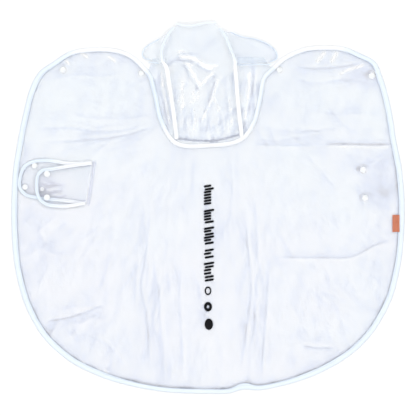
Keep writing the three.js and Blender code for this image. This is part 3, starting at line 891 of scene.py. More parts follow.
def film_half(side, sign, edge, nodes):
    """Half of the cape's one sheet of film, up to its middle line."""
    distance = edge.spread(GRID)
    border = edge.at(distance) + edge.left(distance) * FILM_INSET
    neck_distance = neck.spread(GRID)
    neck_border = neck.at(neck_distance) + neck.left(neck_distance) * FILM_INSET
    neck_side = neck_border[neck_border[:, 0] * sign > 2]
    ring = np.vstack([border, neck_side] if sign > 0 else [neck_side, border])[:, :2]
    ring = ring[ring[:, 0] * sign > 1.2]
    bottom = np.array([0.0, hem.at(hem_middle)[1] + FILM_INSET])
    top = np.array([0.0, neck_border[np.argmin(np.abs(neck_border[:, 0])), 1]])
    count = round((top[1] - bottom[1]) / GRID)
    middle = np.linspace(bottom, top, count + 1)
    ring = np.vstack([ring, middle[::-sign]])
    keep = np.linalg.norm(ring - np.roll(ring, 1, 0), axis=1) > 0.8
    rim_line = (edge.at(edge.spread(4)) + edge.left(edge.spread(4)) * TAPE_EDGE)[:, :2]
    own = [line[line[:, 0] * sign > 4] for line in (
        rim_line, *main_folds, *[np.array(points) for _, points in GLINTS])]
    verts, faces = fill(ring[keep], GRID, [line for line in own if len(line) > 1])
    x, y = verts.T
    neck_rim = line_distance(x, y, neck.at(neck.spread(8)))[0]
    rim = np.minimum(line_distance(x, y, edge.at(edge.spread(8)))[0], neck_rim)
    height, shade = film_surface(x, y, rim)
    shade = shade + rim_shade(rim, x, y) * smoothstep(6, 20, neck_rim)
    obj = piece(
        f"cape_film_{side}", *thicken(np.column_stack([x, y, height]), faces), cape_film,
        "clear_film")
    tint = 0.35 + 0.55 * smoothstep(140, -160, y) + 0.3 * noise(x, y, 120, 23)
    looks = {
        "painted_shading": shade, "tint": np.clip(tint + spots(x, y, TINTS), 0, 1),
        "fan": np.arctan2(x, 230 - y), "reach": np.hypot(x, 230 - y) * MM}
    for look, values in looks.items():
        paint(obj, look, np.tile(values, 2))
    mark_light(obj, shade)
    blend_at_shoulder(obj)
    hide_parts(*nodes)
    a, b, c = (verts[faces[:, k]] for k in range(3))
    area = np.abs(np.cross(b - a, c - a)).sum() / 2 * MM * MM
    return obj, area, (verts.max(0) - verts.min(0)) * MM


SIDES = [("left", -1, left_edge), ("right", 1, right_edge)]
halves = [
    film_half("left", -1, left_edge, ["back_panel", "left_front_panel"]),
    film_half("right", 1, right_edge, ["right_front_panel"]),
]


# ---------------------------------------------------------------- bindings
def tape_profile(width, half=1.25, leaf=0.5):
    """The folded tape's section: two leaves joined by a round fold at 0."""
    top = [
        (width, half - leaf), (width, half - 0.15), (width - 0.5, half - 0.05),
        (width - 1.6, half - 0.22), (width - 2.1, half - 0.3), (width - 2.6, half - 0.22),
        (width - 4, half), (width * 0.42, half + 0.1), (2.2, half), (0.9, half * 0.8),
        (0.15, half * 0.42)]
    inner = [(width - 2.1, half - leaf - 0.25), (width * 0.5, half - leaf),
             (2.0, half - leaf - 0.1), (1.1, 0.12)]
    lower = [(w, -h) for w, h in top[::-1] + inner]
    return top + [(0, 0)] + lower + inner[::-1]


def tape_shape(width, seed):
    """Waves and puckers of a sewn tape."""
    def shape(distance, w, h, x, y):
        grow = 1 + 0.035 * noise(distance, 0 * distance, 34, seed)
        pucker = 0.16 * np.cos(2 * math.pi * distance / PITCH) * np.sign(h)
        pucker = pucker * bell(w, 1.6, width - 2.1)
        lift = 0.28 * noise(distance, 0 * distance, 47, seed + 1)
        lift = lift + 0.14 * noise(distance, w, 13, seed + 2)
        wander = 0.5 * noise(distance, 0 * distance, 60, seed + 3)
        return w * grow + wander, np.maximum(h + pucker * 0.6 + lift, -FILM_Z + 0.25)
    return shape


def edge_shape(distance, w, h, x, y):
    """The cape's tape: wider at the sides than on the shoulders and the hem."""
    side = smoothstep(150, 260, np.abs(x)) * (1 - smoothstep(300, 372, y))
    w = w * (mix(0.84, 1.04, side) + 0.36 * hem_rise(x, y))
    return tape_shape(FRONT_TAPE, 3)(distance, w, h, x, y)


def tape_shade(verts):
    """Painted light and shade: 0 on the shoulders, painted bright as lit, and 1 on the sides and
    hem, painted cooler as in shade.
    """
    x, y = verts[:, 0], verts[:, 1]
    return 1 - smoothstep(270, 340, y) * smoothstep(355, 305, np.abs(x))


def edge_lines(profile, count, outer, inner):
    """Painted shade along the tape's fold and along its sewn edge, at every point of its sections.
    """
    w = np.array([place[0] for place in profile])
    return np.tile(outer * bell(w, 1.3) + inner * bell(w, 1.1, w.max()), count)


def binding(name, line, profile, material, shape, shade, outer, inner, spacing=1.7):
    verts, faces = sweep(line, profile, spacing, shape)
    obj = piece(name, verts, faces, material, "binding_tape", sharp=60)
    lines = edge_lines(profile, len(verts) // len(profile), outer, inner)
    paint(obj, "shade", shade(verts) + lines)
    return obj


def raised(line, height=FILM_Z):
    return Line(line.points + np.array((0, 0, height)))


def neck_shade(verts):
    """Painted light and shade: the neck's binding is painted white under the hood and cooler, as
    in shade, up its sides.
    """
    x, y = verts[:, 0], verts[:, 1]
    sides = smoothstep(168, 215, y) * mix(0.8, 0.55, smoothstep(0, 40, x))
    return sides * (1 - 0.5 * smoothstep(290, 340, y) * smoothstep(20, 0, x))


tapes = [
    binding(f"binding_{side}", raised(line), tape_profile(FRONT_TAPE), tape_cloth, edge_shape,
            tape_shade, 0.4, 0.65)
    for side, _, line in SIDES]
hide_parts("left_shoulder_binding", "left_front_binding", "hem_binding")
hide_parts("right_shoulder_binding", "right_front_binding")
neck_tape = binding(
    "binding_neck", raised(neck), tape_profile(ROOT_TAPE, 1.35), piping_cloth,
    tape_shape(ROOT_TAPE, 8), neck_shade, 0.25, 0.35)
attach(neck_tape, "cape")
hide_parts("neck_binding")


def stitch_rows(name, line, inset):
    """The same row of stitches on the upper and the lower side of a tape."""
    rows = joined([stitches(raised(line), inset, height) for height in (1.05, -1.05)])
    return piece(name, *rows, thread_and_shade, sharp=80)


threads = [stitch_rows(f"stitches_{side}", line, EDGE_STITCH) for side, _, line in SIDES]
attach(stitch_rows("stitches_neck", neck, NECK_STITCH), "cape")
for (side, sign, _), (film, area, size), tape, row in zip(SIDES, halves, tapes, threads):
    blend_at_shoulder(tape)
    blend_at_shoulder(row)


# ---------------------------------------------------------------- hood
pipes = {name: Line(catmull(points)) for name, points in PIPING.items()}
whole_pipes = {
    side: Line(np.vstack([pipes[f"{side}_lower"].points, pipes[f"{side}_upper"].points]))
    for side in ("left", "right")}
left_pipe, right_pipe = whole_pipes["left"], whole_pipes["right"]
PIPE_ENDS = {"left": (-75.5, 163.5, 4.4), "right": (80.5, 169, 4.4)}
PIPE_ROOM = 2.0  # the panels end this far from the piping's middle
SLOT, MOUTH = 2.5, -2.0  # a panel starts in the neck binding's slot and comes out of its mouth
CENTRE_SLOT, SIDE_SLOT = 0.04, 0.1  # the share of a panel that lies in the slot
brim = Line(catmull(BRIM))


def beside(line, share, away):
    """Places a share of the way along a line, and away from it: positive to its left."""
    distance = share * line.length
    return line.at(distance) + line.left(distance) * away


def neck_place(share, inset):
    place = beside(neck, share, inset)
    place[..., 2] = FILM_Z
    return place


def panel(name, surface, columns, rows, nodes, crumple, bodies=("cape", "hood")):
    """A hood panel from surface(u, v), with its own crumple added, as a closed sheet."""
    v, u = np.meshgrid(np.linspace(0, 1, rows), np.linspace(0, 1, columns), indexing="ij")
    place = surface(u, v)
    lift, shade = crumple(place[..., 0], place[..., 1], u, v)
    place[..., 2] = np.maximum(place[..., 2] + lift, 1.2)
    verts, faces = thicken(place.reshape(-1, 3), grid_faces(rows, columns))
    obj = piece(name, verts, faces, hood_film, "hood_film", sharp=70)
    paint(obj, "painted_shading", np.tile(shade.ravel(), 2))
    # Near the neck seam a painted dark line stays in the colour and doesn't get the painted-shade
    # look.
    mark_light(obj, np.maximum(shade, np.where(place[..., 1] > 190, -1.2, -9)).ravel())
    if len(bodies) == 2:
        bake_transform(obj)
    else:
        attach(obj, bodies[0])
    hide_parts(*nodes)
    return obj


# The hood's creases as painted highlights and painted shade lines: (points, half width, light or
# shade).
HOOD_GLINTS = [
    ([(-66, 362), (-46, 359), (-29, 354), (-10, 341), (4, 334)], 4.2, 1.8),
    ([(-10, 341), (8, 337), (22, 340)], 3.0, 1.5),
    ([(-72, 372), (-60, 373), (-48, 370)], 2.6, 1.2),
    ([(-50, 347), (-36, 322), (-19, 292)], 3.0, 1.7),
    ([(-19, 292), (-4, 308), (12, 323)], 2.8, 1.6),
    ([(22, 304), (8, 258), (-14, 212)], 2.6, 1.5),
    ([(14, 262), (22, 244), (26, 230)], 2.4, 0.9),
    ([(-60, 346), (-44, 340), (-30, 346)], 2.2, 1.0),
    ([(-62, 300), (-60, 260), (-64, 226)], 2.0, 0.55),
    ([(44, 330), (48, 280), (52, 236)], 2.0, 0.55),
    ([(-34, 236), (-30, 206), (-34, 186)], 1.8, 0.6), ([(-8, 204), (-10, 178)], 1.7, 0.6),
    ([(6, 204), (12, 182)], 1.7, 0.6), ([(34, 226), (40, 190)], 1.9, 0.7),
    ([(-48, 214), (-52, 184)], 1.7, 0.5), ([(54, 236), (58, 196)], 1.9, 0.8),
    ([(-62, 200), (-56, 178)], 1.6, 0.5), ([(22, 196), (26, 178)], 1.6, 0.6),
    ([(-24, 262), (-22, 236)], 1.8, 0.5), ([(34, 296), (38, 262)], 2.0, 0.6),
]
HOOD_DARKS = [
    ([(-70, 352), (-48, 350), (-30, 345), (-12, 331), (4, 325)], 3.4, -0.9),
    ([(-58, 340), (-44, 314), (-24, 284)], 3.0, -0.8),
    ([(-14, 286), (4, 300), (18, 316)], 3.0, -0.7),
    ([(16, 300), (1, 252), (-20, 208)], 3.0, -0.8),
    ([(-74, 165), (-30, 161), (20, 161), (72, 174)], 2.2, -2.6),
    ([(-74, 168), (0, 166), (72, 178)], 5.0, -0.25),
    ([(-98, 340), (-80, 352), (-56, 368), (-30, 366)], 4.0, -0.7),
    ([(-82, 300), (-78, 250), (-70, 190)], 3.0, -0.3),
    ([(58, 320), (62, 260), (68, 196)], 3.4, -0.4),
    ([(-40, 236), (-38, 190)], 1.8, -0.6), ([(0, 240), (-2, 184)], 1.8, -0.6),
    ([(28, 230), (32, 186)], 1.8, -0.6), ([(-20, 226), (-18, 180)], 1.7, -0.5),
    ([(46, 260), (50, 200)], 1.8, -0.5), ([(-56, 240), (-58, 190)], 1.8, -0.5),
]


def hood_shade(x, y):
    # Painted light and shade of the hood's film: random tone, painted highlights and shade lines
    # along its creases, lighter left of the middle, painted light from the crumple's slopes, and
    # painted highlight specks.
    shade = 0.26 * noise(x * 1.8, y * 0.6, 24, 11) + 0.22 * noise(x * 2, y * 0.5, 11, 12)
    uneven = 0.95 + 0.18 * noise(x, y, 14, 13)
    shade = shade + strokes(x, y, HOOD_GLINTS + HOOD_DARKS) * uneven
    shade = shade + 0.42 * bell(x, 30, -40) * smoothstep(190, 250, y) * smoothstep(345, 300, y)
    shade = shade + 0.45 * smoothstep(236, 176, y) * noise(x * 2.6, y * 0.5, 20, 14)
    below = smoothstep(345, 300, y)
    for size, seed, strength in ((34, 1, 0.35), (15, 2, 0.3), (8, 9, 0.22)):
        slope = crumple(x * 1.2, y * 0.7, size, seed)[1]
        shade = shade + strength * (0.25 + 0.75 * below) * slope
    highlight_speck = smoothstep(0.72, 0.95, noise(x * 1.4, y * 0.7, 6, 18)) * below
    return shade + 1.4 * highlight_speck


def centre_crumple(x, y, u, v):
    free = np.sin(math.pi * np.clip(u, 0, 1)) ** 0.6 * smoothstep(0, 0.06, v)
    free = free * smoothstep(1, 0.94, v)
    fold = 2.6 * facets(x * 1.1, y * 0.55, 42, 1) + 1.1 * facets(x * 1.2, y * 0.6, 18, 2)
    gather = smoothstep(250, 180, y) * 0.8 * noise(x * 2.6, y * 0.4, 16, 3)
    ridge = 0.9 * strokes(x, y, HOOD_GLINTS, wide=1.6)
    lift = (fold + gather + ridge + 0.5 * noise(x, y, 30, 5)) * free
    return np.clip(lift, -4.5, 3.2), hood_shade(x, y)


def neck_share(x):
    """How far along the neck's edge it has that x."""
    return float(np.interp(-x, -neck.points[:, 0], neck.passed)) / neck.length


CENTRE_LEFT, CENTRE_RIGHT = neck_share(-73), neck_share(78)


def centre_surface(u, v):
    """The centre strip from the neck binding's slot to the brim."""
    def across(share):
        return mix(beside(left_pipe, share, -PIPE_ROOM),
                   beside(right_pipe, share, PIPE_ROOM), u[..., None])

    t = mix(CENTRE_LEFT, CENTRE_RIGHT, u)
    slot, mouth = neck_place(t, SLOT), neck_place(t, MOUTH)
    w = np.clip((v - CENTRE_SLOT) / (1 - CENTRE_SLOT), 0, 1)
    place = across(w) + (mouth - across(0)) * ((1 - w)[..., None]) ** 2
    top = brim.at((0.02 + 0.96 * u) * brim.length) - np.array((0, 2.0, 0))
    place = place + (top - across(1)) * smoothstep(0.75, 1, w)[..., None]
    crown = 4.5 * np.sin(math.pi * u) * smoothstep(0, 0.3, w) * smoothstep(1.05, 0.6, w)
    place[..., 2] += crown
    into = np.clip(v / CENTRE_SLOT, 0, 1)[..., None]
    return np.where(v[..., None] < CENTRE_SLOT, mix(slot, mouth, into), place)


centre_panel = panel(
    "hood_film_centre", centre_surface, 104, 190, ["hood_centre_lower", "hood_centre_upper"],
    centre_crumple)


def side_surface(pipe, neck_from, neck_to, pipe_to, side):
    """A side panel's lower part from the neck binding up to the piping."""
    def surface(u, v):
        t = mix(neck_from, neck_to, v)
        out = 1 - u if side > 0 else u
        slot, mouth = neck_place(t, SLOT), neck_place(t, MOUTH)
        end = beside(pipe, v * pipe_to, -side * PIPE_ROOM)
        w = np.clip((out - SIDE_SLOT) / (1 - SIDE_SLOT), 0, 1)
        place = mix(mouth, end, w[..., None])
        place[..., 2] = mix(mouth[..., 2], end[..., 2], smoothstep(0, 1, w))
        place[..., 1] += 24 * smoothstep(0.72, 1, v) * smoothstep(0, 0.25, w)
        into = np.clip(out / SIDE_SLOT, 0, 1)[..., None]
        return np.where(out[..., None] < SIDE_SLOT, mix(slot, mouth, into), place)
    return surface


# Painted light and shade lines of long folds on the side panels: (points, half width, light or
# shade).
SIDE_LINES = [
    ([(112, 322), (104, 270), (96, 222), (84, 190)], 2.3, -0.9),
    ([(90, 330), (87, 280), (84, 225)], 2.3, -0.6),
    ([(102, 326), (96, 272), (90, 214)], 2.3, 0.9),
    ([(126, 332), (116, 318), (112, 300)], 2.3, 0.8),
    ([(-120, 318), (-110, 262), (-98, 208)], 2.3, -0.8),
    ([(-112, 325), (-103, 268), (-92, 200)], 2.3, 0.7),
    ([(-104, 310), (-97, 262), (-88, 205)], 2.3, -0.6),
]


def side_crumple(x, y, u, v):
    free = np.sin(math.pi * np.clip(u, 0, 1)) ** 0.5 * smoothstep(0, 0.08, v)
    lift = (1.6 * facets(x, y * 0.5, 30, 4) + 0.7 * noise(x * 2, y * 0.6, 14, 6)) * free
    # Painted light and shade: random tone, light from the crumple's slopes, the fold lines, and
    # painted shade beside the neck binding.
    shade = 0.30 * noise(x * 2.4, y * 0.5, 26, 15) + 0.18 * noise(x * 2, y, 10, 16) + 0.08
    shade = shade + 0.55 * noise(x * 2.2 + 0.25 * y, y * 0.3, 13, 24)
    shade = shade + 0.26 * crumple(x, y * 0.5, 16, 4)[1]
    shade = shade + strokes(x, y, SIDE_LINES) * (0.9 + 0.3 * noise(x, y, 18, 25))
    rim = line_distance(x, y, neck.at(neck.spread(8)))[0]
    shade = shade - 0.5 * bell(rim, 6, 5) * smoothstep(330, 280, y)
    return np.clip(lift, -1.5, 2.0), shade


for side, sign, neck_from, neck_to in (
        ("left", -1, CENTRE_LEFT, 0.993), ("right", 1, CENTRE_RIGHT, 0.007)):
    pipe = whole_pipes[side]
    below = pipes[f"{side}_lower"].length / pipe.length
    panel(
        f"hood_film_side_{side}", side_surface(pipe, neck_from, neck_to, below, sign), 30, 72,
        [f"hood_side_{side}_lower"], side_crumple)


def lobe_surface(pipe, outer, side):
    def surface(u, v):
        inner = beside(pipe, mix(0.04, 0.90, v), -side * PIPE_ROOM)
        edge = outer.at(v * outer.length)
        out = u if side > 0 else 1 - u
        place = mix(inner, edge, out[..., None])
        place[..., 2] += 5.0 * np.sin(math.pi * out) ** 0.8
        return place
    return surface


def lobe_crumple(side):
    def crumple(x, y, u, v):
        out = u if side > 0 else 1 - u
        free = np.sin(math.pi * np.clip(out, 0, 1)) ** 0.5
        gather = smoothstep(0.45, 0.0, v)
        pleat = np.sin(x * 0.75 + 1.3 * noise(x, y, 14, 7)) * gather
        lift = (1.2 * pleat + 1.5 * facets(x * 0.8, y, 26, 5) * (1 - 0.5 * gather)) * free
        # Painted light and shade along the pleats, random tone, the left lobe lighter than the
        # right, and darker along the outer edge.
        shade = 0.3 * pleat + 0.22 * noise(x, y * 1.4, 16, 17) + (0.2 if side < 0 else -0.1)
        return np.clip(lift, -3, 2.5), shade - 0.5 * bell(out, 0.05, 0.97)
    return crumple


lobes = {"left": (-1, LEFT_LOBE, 30, 44), "right": (1, RIGHT_LOBE, 48, 48)}
for side, (sign, outer, columns, rows) in lobes.items():
    panel(
        f"hood_film_lobe_{side}",
        lobe_surface(pipes[f"{side}_upper"], Line(catmull(outer)), sign), columns, rows,
        [f"hood_side_{side}_upper"], lobe_crumple(sign), ("hood",))


def oval(width, height, count=14):
    """An oval section centred on the line."""
    turns = [2 * math.pi * k / count for k in range(count)]
    return [(width / 2 * math.cos(t), height / 2 * math.sin(t)) for t in turns]


def soft_bar(name, line, size, material, seed, cool=0.0, swell=0.06, end=0.55, slim=0.0):
    """A soft oval bar with tapered ends. A slim one is narrow and cool above the hood's fold."""
    def shape(distance, w, h, x, y):
        grow = 1 + swell * noise(distance, 0 * distance, 18, seed)
        lift = 0.25 * noise(distance, 0 * distance, 24, seed + 1)
        to_end = np.minimum(distance, line.length - distance)
        taper = end + (1 - end) * smoothstep(0, 2.5, to_end)
        narrow = 1 - slim * smoothstep(330, 365, y)
        return w * grow * narrow * taper, h * taper + lift
    verts, faces = sweep(line, oval(*size), 1.2, shape)
    obj = piece(name, verts, faces, material, "binding_tape", sharp=70)
    y = verts[:, 1]
    paint(obj, "shade", cool * smoothstep(330, 372, y) if slim else cool + 0 * y)
    return obj


# Widths and heights of the bars.
PIPE_SIZE, BRIM_SIZE, ELASTIC_SIZE, LOBE_HEM_SIZE, STRIP_SIZE = (
    (9.6, 3.0), (6, 2.4), (3.6, 2.2), (3.0, 1.2), (8, 1.3))
pipings = []
for side, seed in (("left", 21), ("right", 24)):
    whole = Line(np.vstack([[PIPE_ENDS[side]], whole_pipes[side].points]))
    pipings.append(soft_bar(
        f"piping_{side}", whole, PIPE_SIZE, piping_cloth, seed, 0.7, swell=0.07, end=0.6,
        slim=0.3))
    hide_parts(f"piping_{side}_lower", f"piping_{side}_upper")
for obj in pipings:
    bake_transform(obj)

brim_hem = soft_bar("hood_brim", brim, BRIM_SIZE, piping_cloth, 27, 0.55)
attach(brim_hem, "hood")
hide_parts("hood_brim_hem")
for side, points in ELASTIC.items():
    elastic = soft_bar(
        f"elastic_{side}", Line(catmull(points)), ELASTIC_SIZE, piping_cloth, 30, 0.8)
    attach(elastic, "hood")
    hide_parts(f"elastic_edge_{side}")
for side, (_, outer, _, _) in lobes.items():
    edge_hem = soft_bar(
        f"hood_hem_{side}", Line(catmull(outer)), LOBE_HEM_SIZE, piping_cloth, 33, 0.9)
    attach(edge_hem, "hood")


# ---------------------------------------------------------------- press studs
# Radius and height from the film's middle, for the cape's neck studs.
CAP_PROFILE = [
    (0, 1.78), (0.5, 1.8), (0.95, 1.95), (1.25, 2.12), (1.8, 2.22), (3.0, 2.3), (4.4, 2.24),
    (5.5, 1.98), (6.2, 1.55), (6.5, 1.15), (6.6, 0.9), (6.45, 0.66), (6.0, 0.6), (1.9, 0.6),
    (1.9, -1.6), (0, -1.6),
]
SOCKET_PROFILE = [
    (2.2, -0.62), (5.3, -0.62), (5.6, -0.8), (5.6, -1.1), (5.2, -1.5), (4.6, -2.1),
    (3.7, -2.15), (3.3, -1.7), (2.9, -1.55), (2.2, -1.6),
]
POST, BORE, SOCKET_TOP = 1.95, 3.8, -0.62  # radii that keep their size, and a height


def tab_height(plane, x, y):
    """A tab's plane rises away from its seam."""
    base, rise = plane
    out = -((x - SEAM_BOTTOM[0]) * SEAM_WAY[1] - (y - SEAM_BOTTOM[1]) * SEAM_WAY[0])
    return base + rise * out


def add_stud(name, profile, place, body, node):
    stud = piece(name, *lathe(profile, place), snap_plastic, "snap_plastic", sharp=35)
    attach(stud, body)
    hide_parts(node)


def add_studs(snaps, body, size=1.12, plane=(FILM_Z, 0), depth=1.0):
    """Caps and sockets, with their rims made wider by size and the sockets less deep."""
    cap = [(r * size if r > POST else r, h) for r, h in CAP_PROFILE]
    socket = [(r * size if r > BORE else r, SOCKET_TOP + (h - SOCKET_TOP) * depth)
              for r, h in SOCKET_PROFILE]
    for name, (x, y) in snaps.items():
        for kind, profile in (("cap", cap), ("socket", socket)):
            add_stud(f"stud_{kind}_{name}", profile, (x, y, tab_height(plane, x, y)), body,
                     f"snap_{kind}_{name}")


add_studs(CAPE_SNAPS, "cape", size=1.0)
add_studs(LEFT_SNAPS, "left_front")
add_studs(RIGHT_SNAPS, "right_front")
add_studs(OUTER_SNAPS, "tab_outer", plane=TAB_OUTER_PLANE, depth=0.72)
add_studs(INNER_SNAPS, "tab_inner", size=1.015, plane=TAB_INNER_PLANE, depth=0.72)

add_stud(
    "stud_tab_inner", [
        (0, 1.2), (0.9, 1.25), (1.5, 1.75), (2.2, 1.8), (2.9, 1.45), (4.2, 1.3), (4.9, 1.05),
        (5.2, 0.75), (4.8, 0.6), (0, 0.6)],
    (*INNER_STUD, tab_height(TAB_INNER_PLANE, *INNER_STUD)), "tab_inner", "tab_inner_stud")


# ---------------------------------------------------------------- closing tabs
TAB_GRID, TAB_RIM_GRID = 2.4, 3.0  # mesh spacings of the film and of its rim
TAB_INSET = 1.6  # from the tape's fold to the film's edge
# Painted light and painted shade on the tabs' film: (x, y, radius x, radius y, shade).
TAB_PATCHES = [
    (-376, 37, 24, 12, -1.2), (-394, 32, 8, 9, -2.2), (-370, 54, 22, 7, -0.7),
    (-430, 42, 13, 11, -0.9), (-330, 60, 30, 30, 0.3), (-384, 66, 14, 8, -0.6),
]
# Painted shade and light lines of crumples round the outer tab's lower stud: (points, half width,
# shade).
TAB_LINES = [
    ([(-402, 36), (-390, 46), (-370, 52)], 3.0, -1.1),
    ([(-396, 22), (-378, 34), (-352, 38)], 2.6, -1.2),
    ([(-374, 60), (-358, 54), (-344, 56)], 2.4, -0.7),
    ([(-408, 50), (-400, 56), (-388, 54)], 2.4, -0.9),
    ([(-374, 26), (-360, 24), (-342, 28)], 2.4, -1.0),
    ([(-443, 36), (-428, 34), (-418, 26)], 2.6, -1.1),
    ([(-430, 52), (-424, 44), (-420, 38)], 2.2, -0.7),
    ([(-386, 42), (-372, 44), (-360, 42)], 2.2, 1.3),
    ([(-368, 30), (-354, 32), (-346, 36)], 2.0, 1.0),
]


def add_tab(name, edge_points, plane, seed):
    """A tab: its film, its folded tape and its stitches."""
    edge = Line(catmull(edge_points))
    closed = edge.cut(1.5, edge.length - 1.5)
    distance = closed.spread(TAB_RIM_GRID)
    border = (closed.at(distance) + closed.left(distance) * TAB_INSET)[:, :2]
    gap = border[0] - border[-1]
    count = max(2, round(np.linalg.norm(gap) / TAB_RIM_GRID))
    seam = border[-1] + gap * (np.arange(1, count) / count)[:, None]
    verts, faces = fill(np.vstack([border, seam]), TAB_GRID)
    x, y = verts.T
    rim = line_distance(x, y, closed.points)[0]
    free = smoothstep(5, 16, rim)
    for sx, sy in [*OUTER_SNAPS.values(), *INNER_SNAPS.values()]:
        free = free * smoothstep(7, 14, np.hypot(x - sx, y - sy))
    z = tab_height(plane, x, y)
    z = z + (0.35 * noise(x, y, 26, seed) + 0.16 * noise(x, y * 1.5, 11, seed + 1)) * free
    rough = 0.75 + 1.7 * noise(x * 0.7, y * 1.5, 7, seed + 5)
    # Painted shade along the rim inside the tape, then the painted light and shade patches and
    # crumple lines.
    shade = 0.2 * noise(x, y, 24, seed + 2) + 0.06 - 0.95 * bell(rim, 2.4, 9)
    shade = shade + spots(x, y, TAB_PATCHES) * np.clip(rough, 0, 1.7)
    shade = shade + strokes(x, y, TAB_LINES)
    film = piece(
        f"{name}_sheet", *thicken(np.column_stack([x, y, z]), faces), tab_film, "clear_film")
    paint(film, "painted_shading", np.tile(shade, 2))
    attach(film, name)
    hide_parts(f"{name}_film")
    level = closed.points.copy()
    level[:, 2] = tab_height(plane, level[:, 0], level[:, 1])
    level = Line(level)
    tape = binding(
        f"{name}_tape", level, tape_profile(TAB_TAPE + 1.4, 0.95, 0.42), tape_cloth,
        lambda d, w, h, px, py: (w * (1 + 0.04 * noise(d, 0 * d, 20, seed)),
                                 h + 0.08 * noise(d, w, 9, seed + 3)),
        lambda points: smoothstep(-335, -400, points[:, 0]), 0.4, 0.5, spacing=1.5)
    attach(tape, name)
    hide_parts(f"{name}_binding")
    sewn = piece(f"{name}_stitches", *stitches(level, TAB_TAPE - 1.9, 0.82, radius=0.36),
                 thread_and_shade, sharp=80)
    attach(sewn, name)


add_tab("tab_inner", TAB_INNER_EDGE, TAB_INNER_PLANE, 41)
add_tab("tab_outer", TAB_OUTER_EDGE, TAB_OUTER_PLANE, 47)

# The sewn strip beside the tabs' hinge line: how far beside it, short of its ends and up.
STRIP_AWAY, STRIP_SHORT, STRIP_RISE = 5.6, 0.6, 1.3
seam_out = np.array((SEAM_WAY[1], -SEAM_WAY[0]))
strip_ends = [SEAM_BOTTOM + seam_out * STRIP_AWAY + SEAM_WAY * STRIP_SHORT,
              SEAM_TOP + seam_out * STRIP_AWAY - SEAM_WAY * STRIP_SHORT]
strip_line = Line([(*p, FILM_Z + STRIP_RISE) for p in strip_ends])
strip = soft_bar("tab_seam", strip_line, STRIP_SIZE, seam_film, 52)
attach(strip, "left_front")
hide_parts("tab_seam_strip")
strip_rows = joined([stitches(strip_line, inset, 0.62, radius=0.3) for inset in (-2.4, 2.4)])
strip_thread = piece("tab_seam_stitches", *strip_rows, thread_and_shade, sharp=80)
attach(strip_thread, "left_front")


# ---------------------------------------------------------------- side label
LABEL_SEWN = 4  # as much of it lies under the tape
LABEL_ROWS, LABEL_COLUMNS, LABEL_THICKNESS = 40, 20, 0.45


def label_surface(u, v):
    """The label curls up a little at its free edge."""
    x = LABEL[0] + (u - 0.42) * (LABEL[2] + LABEL_SEWN)
    y = LABEL[1] + (v - 0.5) * LABEL[3] + 0.4 * np.sin(u * 3)
    curl = 1.2 * (1 - u) ** 2 * (0.6 + 0.4 * np.sin(v * 4 + 0.5))
    over = 1.1 * smoothstep(0.62, 0.84, u)
    return np.stack([x, y, 3.1 + curl * 0.6 + over], -1)


v, u = np.meshgrid(
    np.linspace(0, 1, LABEL_ROWS), np.linspace(0, 1, LABEL_COLUMNS), indexing="ij")
tag_shell = thicken(
    label_surface(u, v).reshape(-1, 3), grid_faces(LABEL_ROWS, LABEL_COLUMNS), LABEL_THICKNESS)
side_tag = piece("side_tag", *tag_shell, label_cloth, "label_cloth", sharp=60)
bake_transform(side_tag)
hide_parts("side_label")


# ---------------------------------------------------------------- print on the back
def dash(x, y, long, wide=5.2, slant=0.16):
    """A slanted bar with rounded ends, across the cape."""
    turns = np.linspace(-math.pi / 2, math.pi / 2, 7)
    right = [(long / 2 - wide / 2 + wide / 2 * math.cos(t), wide / 2 * math.sin(t)) for t in turns]
    points = np.array(right + [(-px, -py) for px, py in right])
    between = np.linspace(0, 1, 6)[1:-1, None]
    split = []
    for point, after in zip(points, np.roll(points, -1, 0)):
        split.append(point[None])
        if np.linalg.norm(after - point) > 3:
            split.append(mix(point, after, between))
    points = np.vstack(split)
    points[:, 1] += points[:, 0] * slant
    return points + np.array((x, y))


def round_mark(x, y, half_x, half_y, count=36):
    turns = np.arange(count) * 2 * math.pi / count
    return np.stack([x + half_x * np.cos(turns), y + half_y * np.sin(turns)], -1)


INK_UP, INK = 0.12, 0.16  # the print's height over the film, and its thickness
random = np.random.default_rng(21)
flat_marks = []
for top, bottom in ((55, 6), (-4, -38), (-46, -89), (-98, -123), (-130, -178)):
    count = max(2, round((top - bottom) / 7.4))
    pitch = (top - bottom) / count
    for k in range(count):
        long = random.choice((25, 18, 18, 22))
        middle = 14 - long / 2 if long == 22 else -10 + long / 2
        flat_marks.append(triangles([dash(middle, top - pitch * (k + 0.5), long)]))
for x, y, half_x, half_y, hole in (
        (0, -200, 8, 10.5, 0.62), (0, -238, 9.5, 11.5, 0.34), (2, -280, 10, 13.5, 0)):
    holes = [round_mark(x, y, half_x * hole, half_y * hole)] if hole else []
    flat_marks.append(triangles([round_mark(x, y, half_x, half_y), *holes]))

film_tops = [
    vertex.co.copy() for film, _, _ in halves
    for vertex in film.data.vertices[:len(film.data.vertices) // 2] if abs(vertex.co.x) < 0.03]
film_tree = tree_of([co.xy for co in film_tops])


def on_film(x, y):
    """Height of the film's upper face, in millimetres."""
    found = film_tree.find_n((x * MM, y * MM, 0), 3)
    weights = [1 / (gap + 1e-6) for _, _, gap in found]
    total = sum(film_tops[k].z * w for (_, k, _), w in zip(found, weights))
    return total / sum(weights) / MM


printed = []
for verts, faces in flat_marks:
    z = np.array([on_film(x, y) for x, y in verts]) + INK_UP
    printed.append(thicken(np.column_stack([verts, z]), faces, INK))
print_marks = piece("back_print", *joined(printed), ink, "print_ink", sharp=40)
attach(print_marks, "cape")


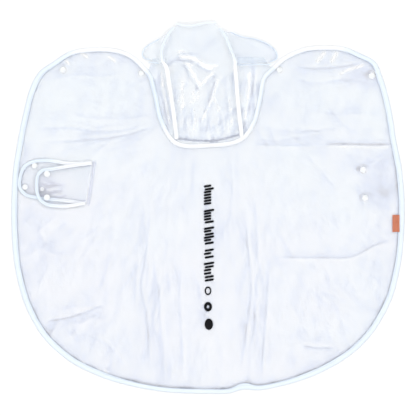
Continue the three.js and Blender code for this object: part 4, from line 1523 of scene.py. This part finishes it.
# ---------------------------------------------------------------- camera, light, floor
FRAME_WIDTH = 0.9984  # metres across the picture at the table
CAMERA_HEIGHT = 6.0
SENSOR = 36
FLOOR_REACH, FLOOR_Z = 12, -0.0003
LIGHT = 2.36
# The sky's brightness by height: a plain ring, a bright one, and a dim top.
BANDS = [(0.0, 0.27), (0.66, 0.27), (0.72, 1.0), (0.86, 1.0), (0.93, 0.16), (1.0, 0.16)]
scene = bpy.context.scene
camera = bpy.data.objects.new("camera", bpy.data.cameras.new("camera"))
scene.collection.objects.link(camera)
camera.data.sensor_width = SENSOR
camera.data.lens = SENSOR * CAMERA_HEIGHT / FRAME_WIDTH
camera.data.clip_end = 100
camera.location = (0, -0.0012, CAMERA_HEIGHT)
scene.camera = camera

floor_mesh = bpy.data.meshes.new("floor")
floor_mesh.from_pydata(
    [(x * FLOOR_REACH, y * FLOOR_REACH, FLOOR_Z)
     for x, y in ((-1, -1), (1, -1), (1, 1), (-1, 1))], [], [(0, 1, 2, 3)])
floor = bpy.data.objects.new("floor", floor_mesh)
scene.collection.objects.link(floor)
floor_nodes = Nodes("floor_white", (0.93, 0.93, 0.93), 0.9, Specular_IOR_Level=0.1)
floor_nodes.colour(floor_nodes.ramp(
    floor_nodes.noise(3, 2), [(0.3, (0.925, 0.927, 0.93)), (0.7, (0.935, 0.935, 0.935))]))
floor_mesh.materials.append(floor_nodes.material)

world = bpy.data.worlds.new("studio")
scene.world = world
world.use_nodes = True
tree = world.node_tree
background = tree.nodes["Background"]
coordinates = tree.nodes.new("ShaderNodeTexCoord")
separate = tree.nodes.new("ShaderNodeSeparateXYZ")
bands = tree.nodes.new("ShaderNodeValToRGB")
tree.links.new(coordinates.outputs["Generated"], separate.inputs[0])
tree.links.new(separate.outputs["Z"], bands.inputs["Fac"])
tree.links.new(bands.outputs["Color"], background.inputs["Color"])
background.inputs["Strength"].default_value = LIGHT
while len(bands.color_ramp.elements) < len(BANDS):
    bands.color_ramp.elements.new(0.5)
for element, (position, level) in zip(bands.color_ramp.elements, BANDS):
    element.position = position
    element.color = (level, level, level, 1)
scene.view_settings.view_transform = "Standard"
# Light has to pass both ways through three double sheets under a tab.
scene.cycles.transparent_max_bounces = 48
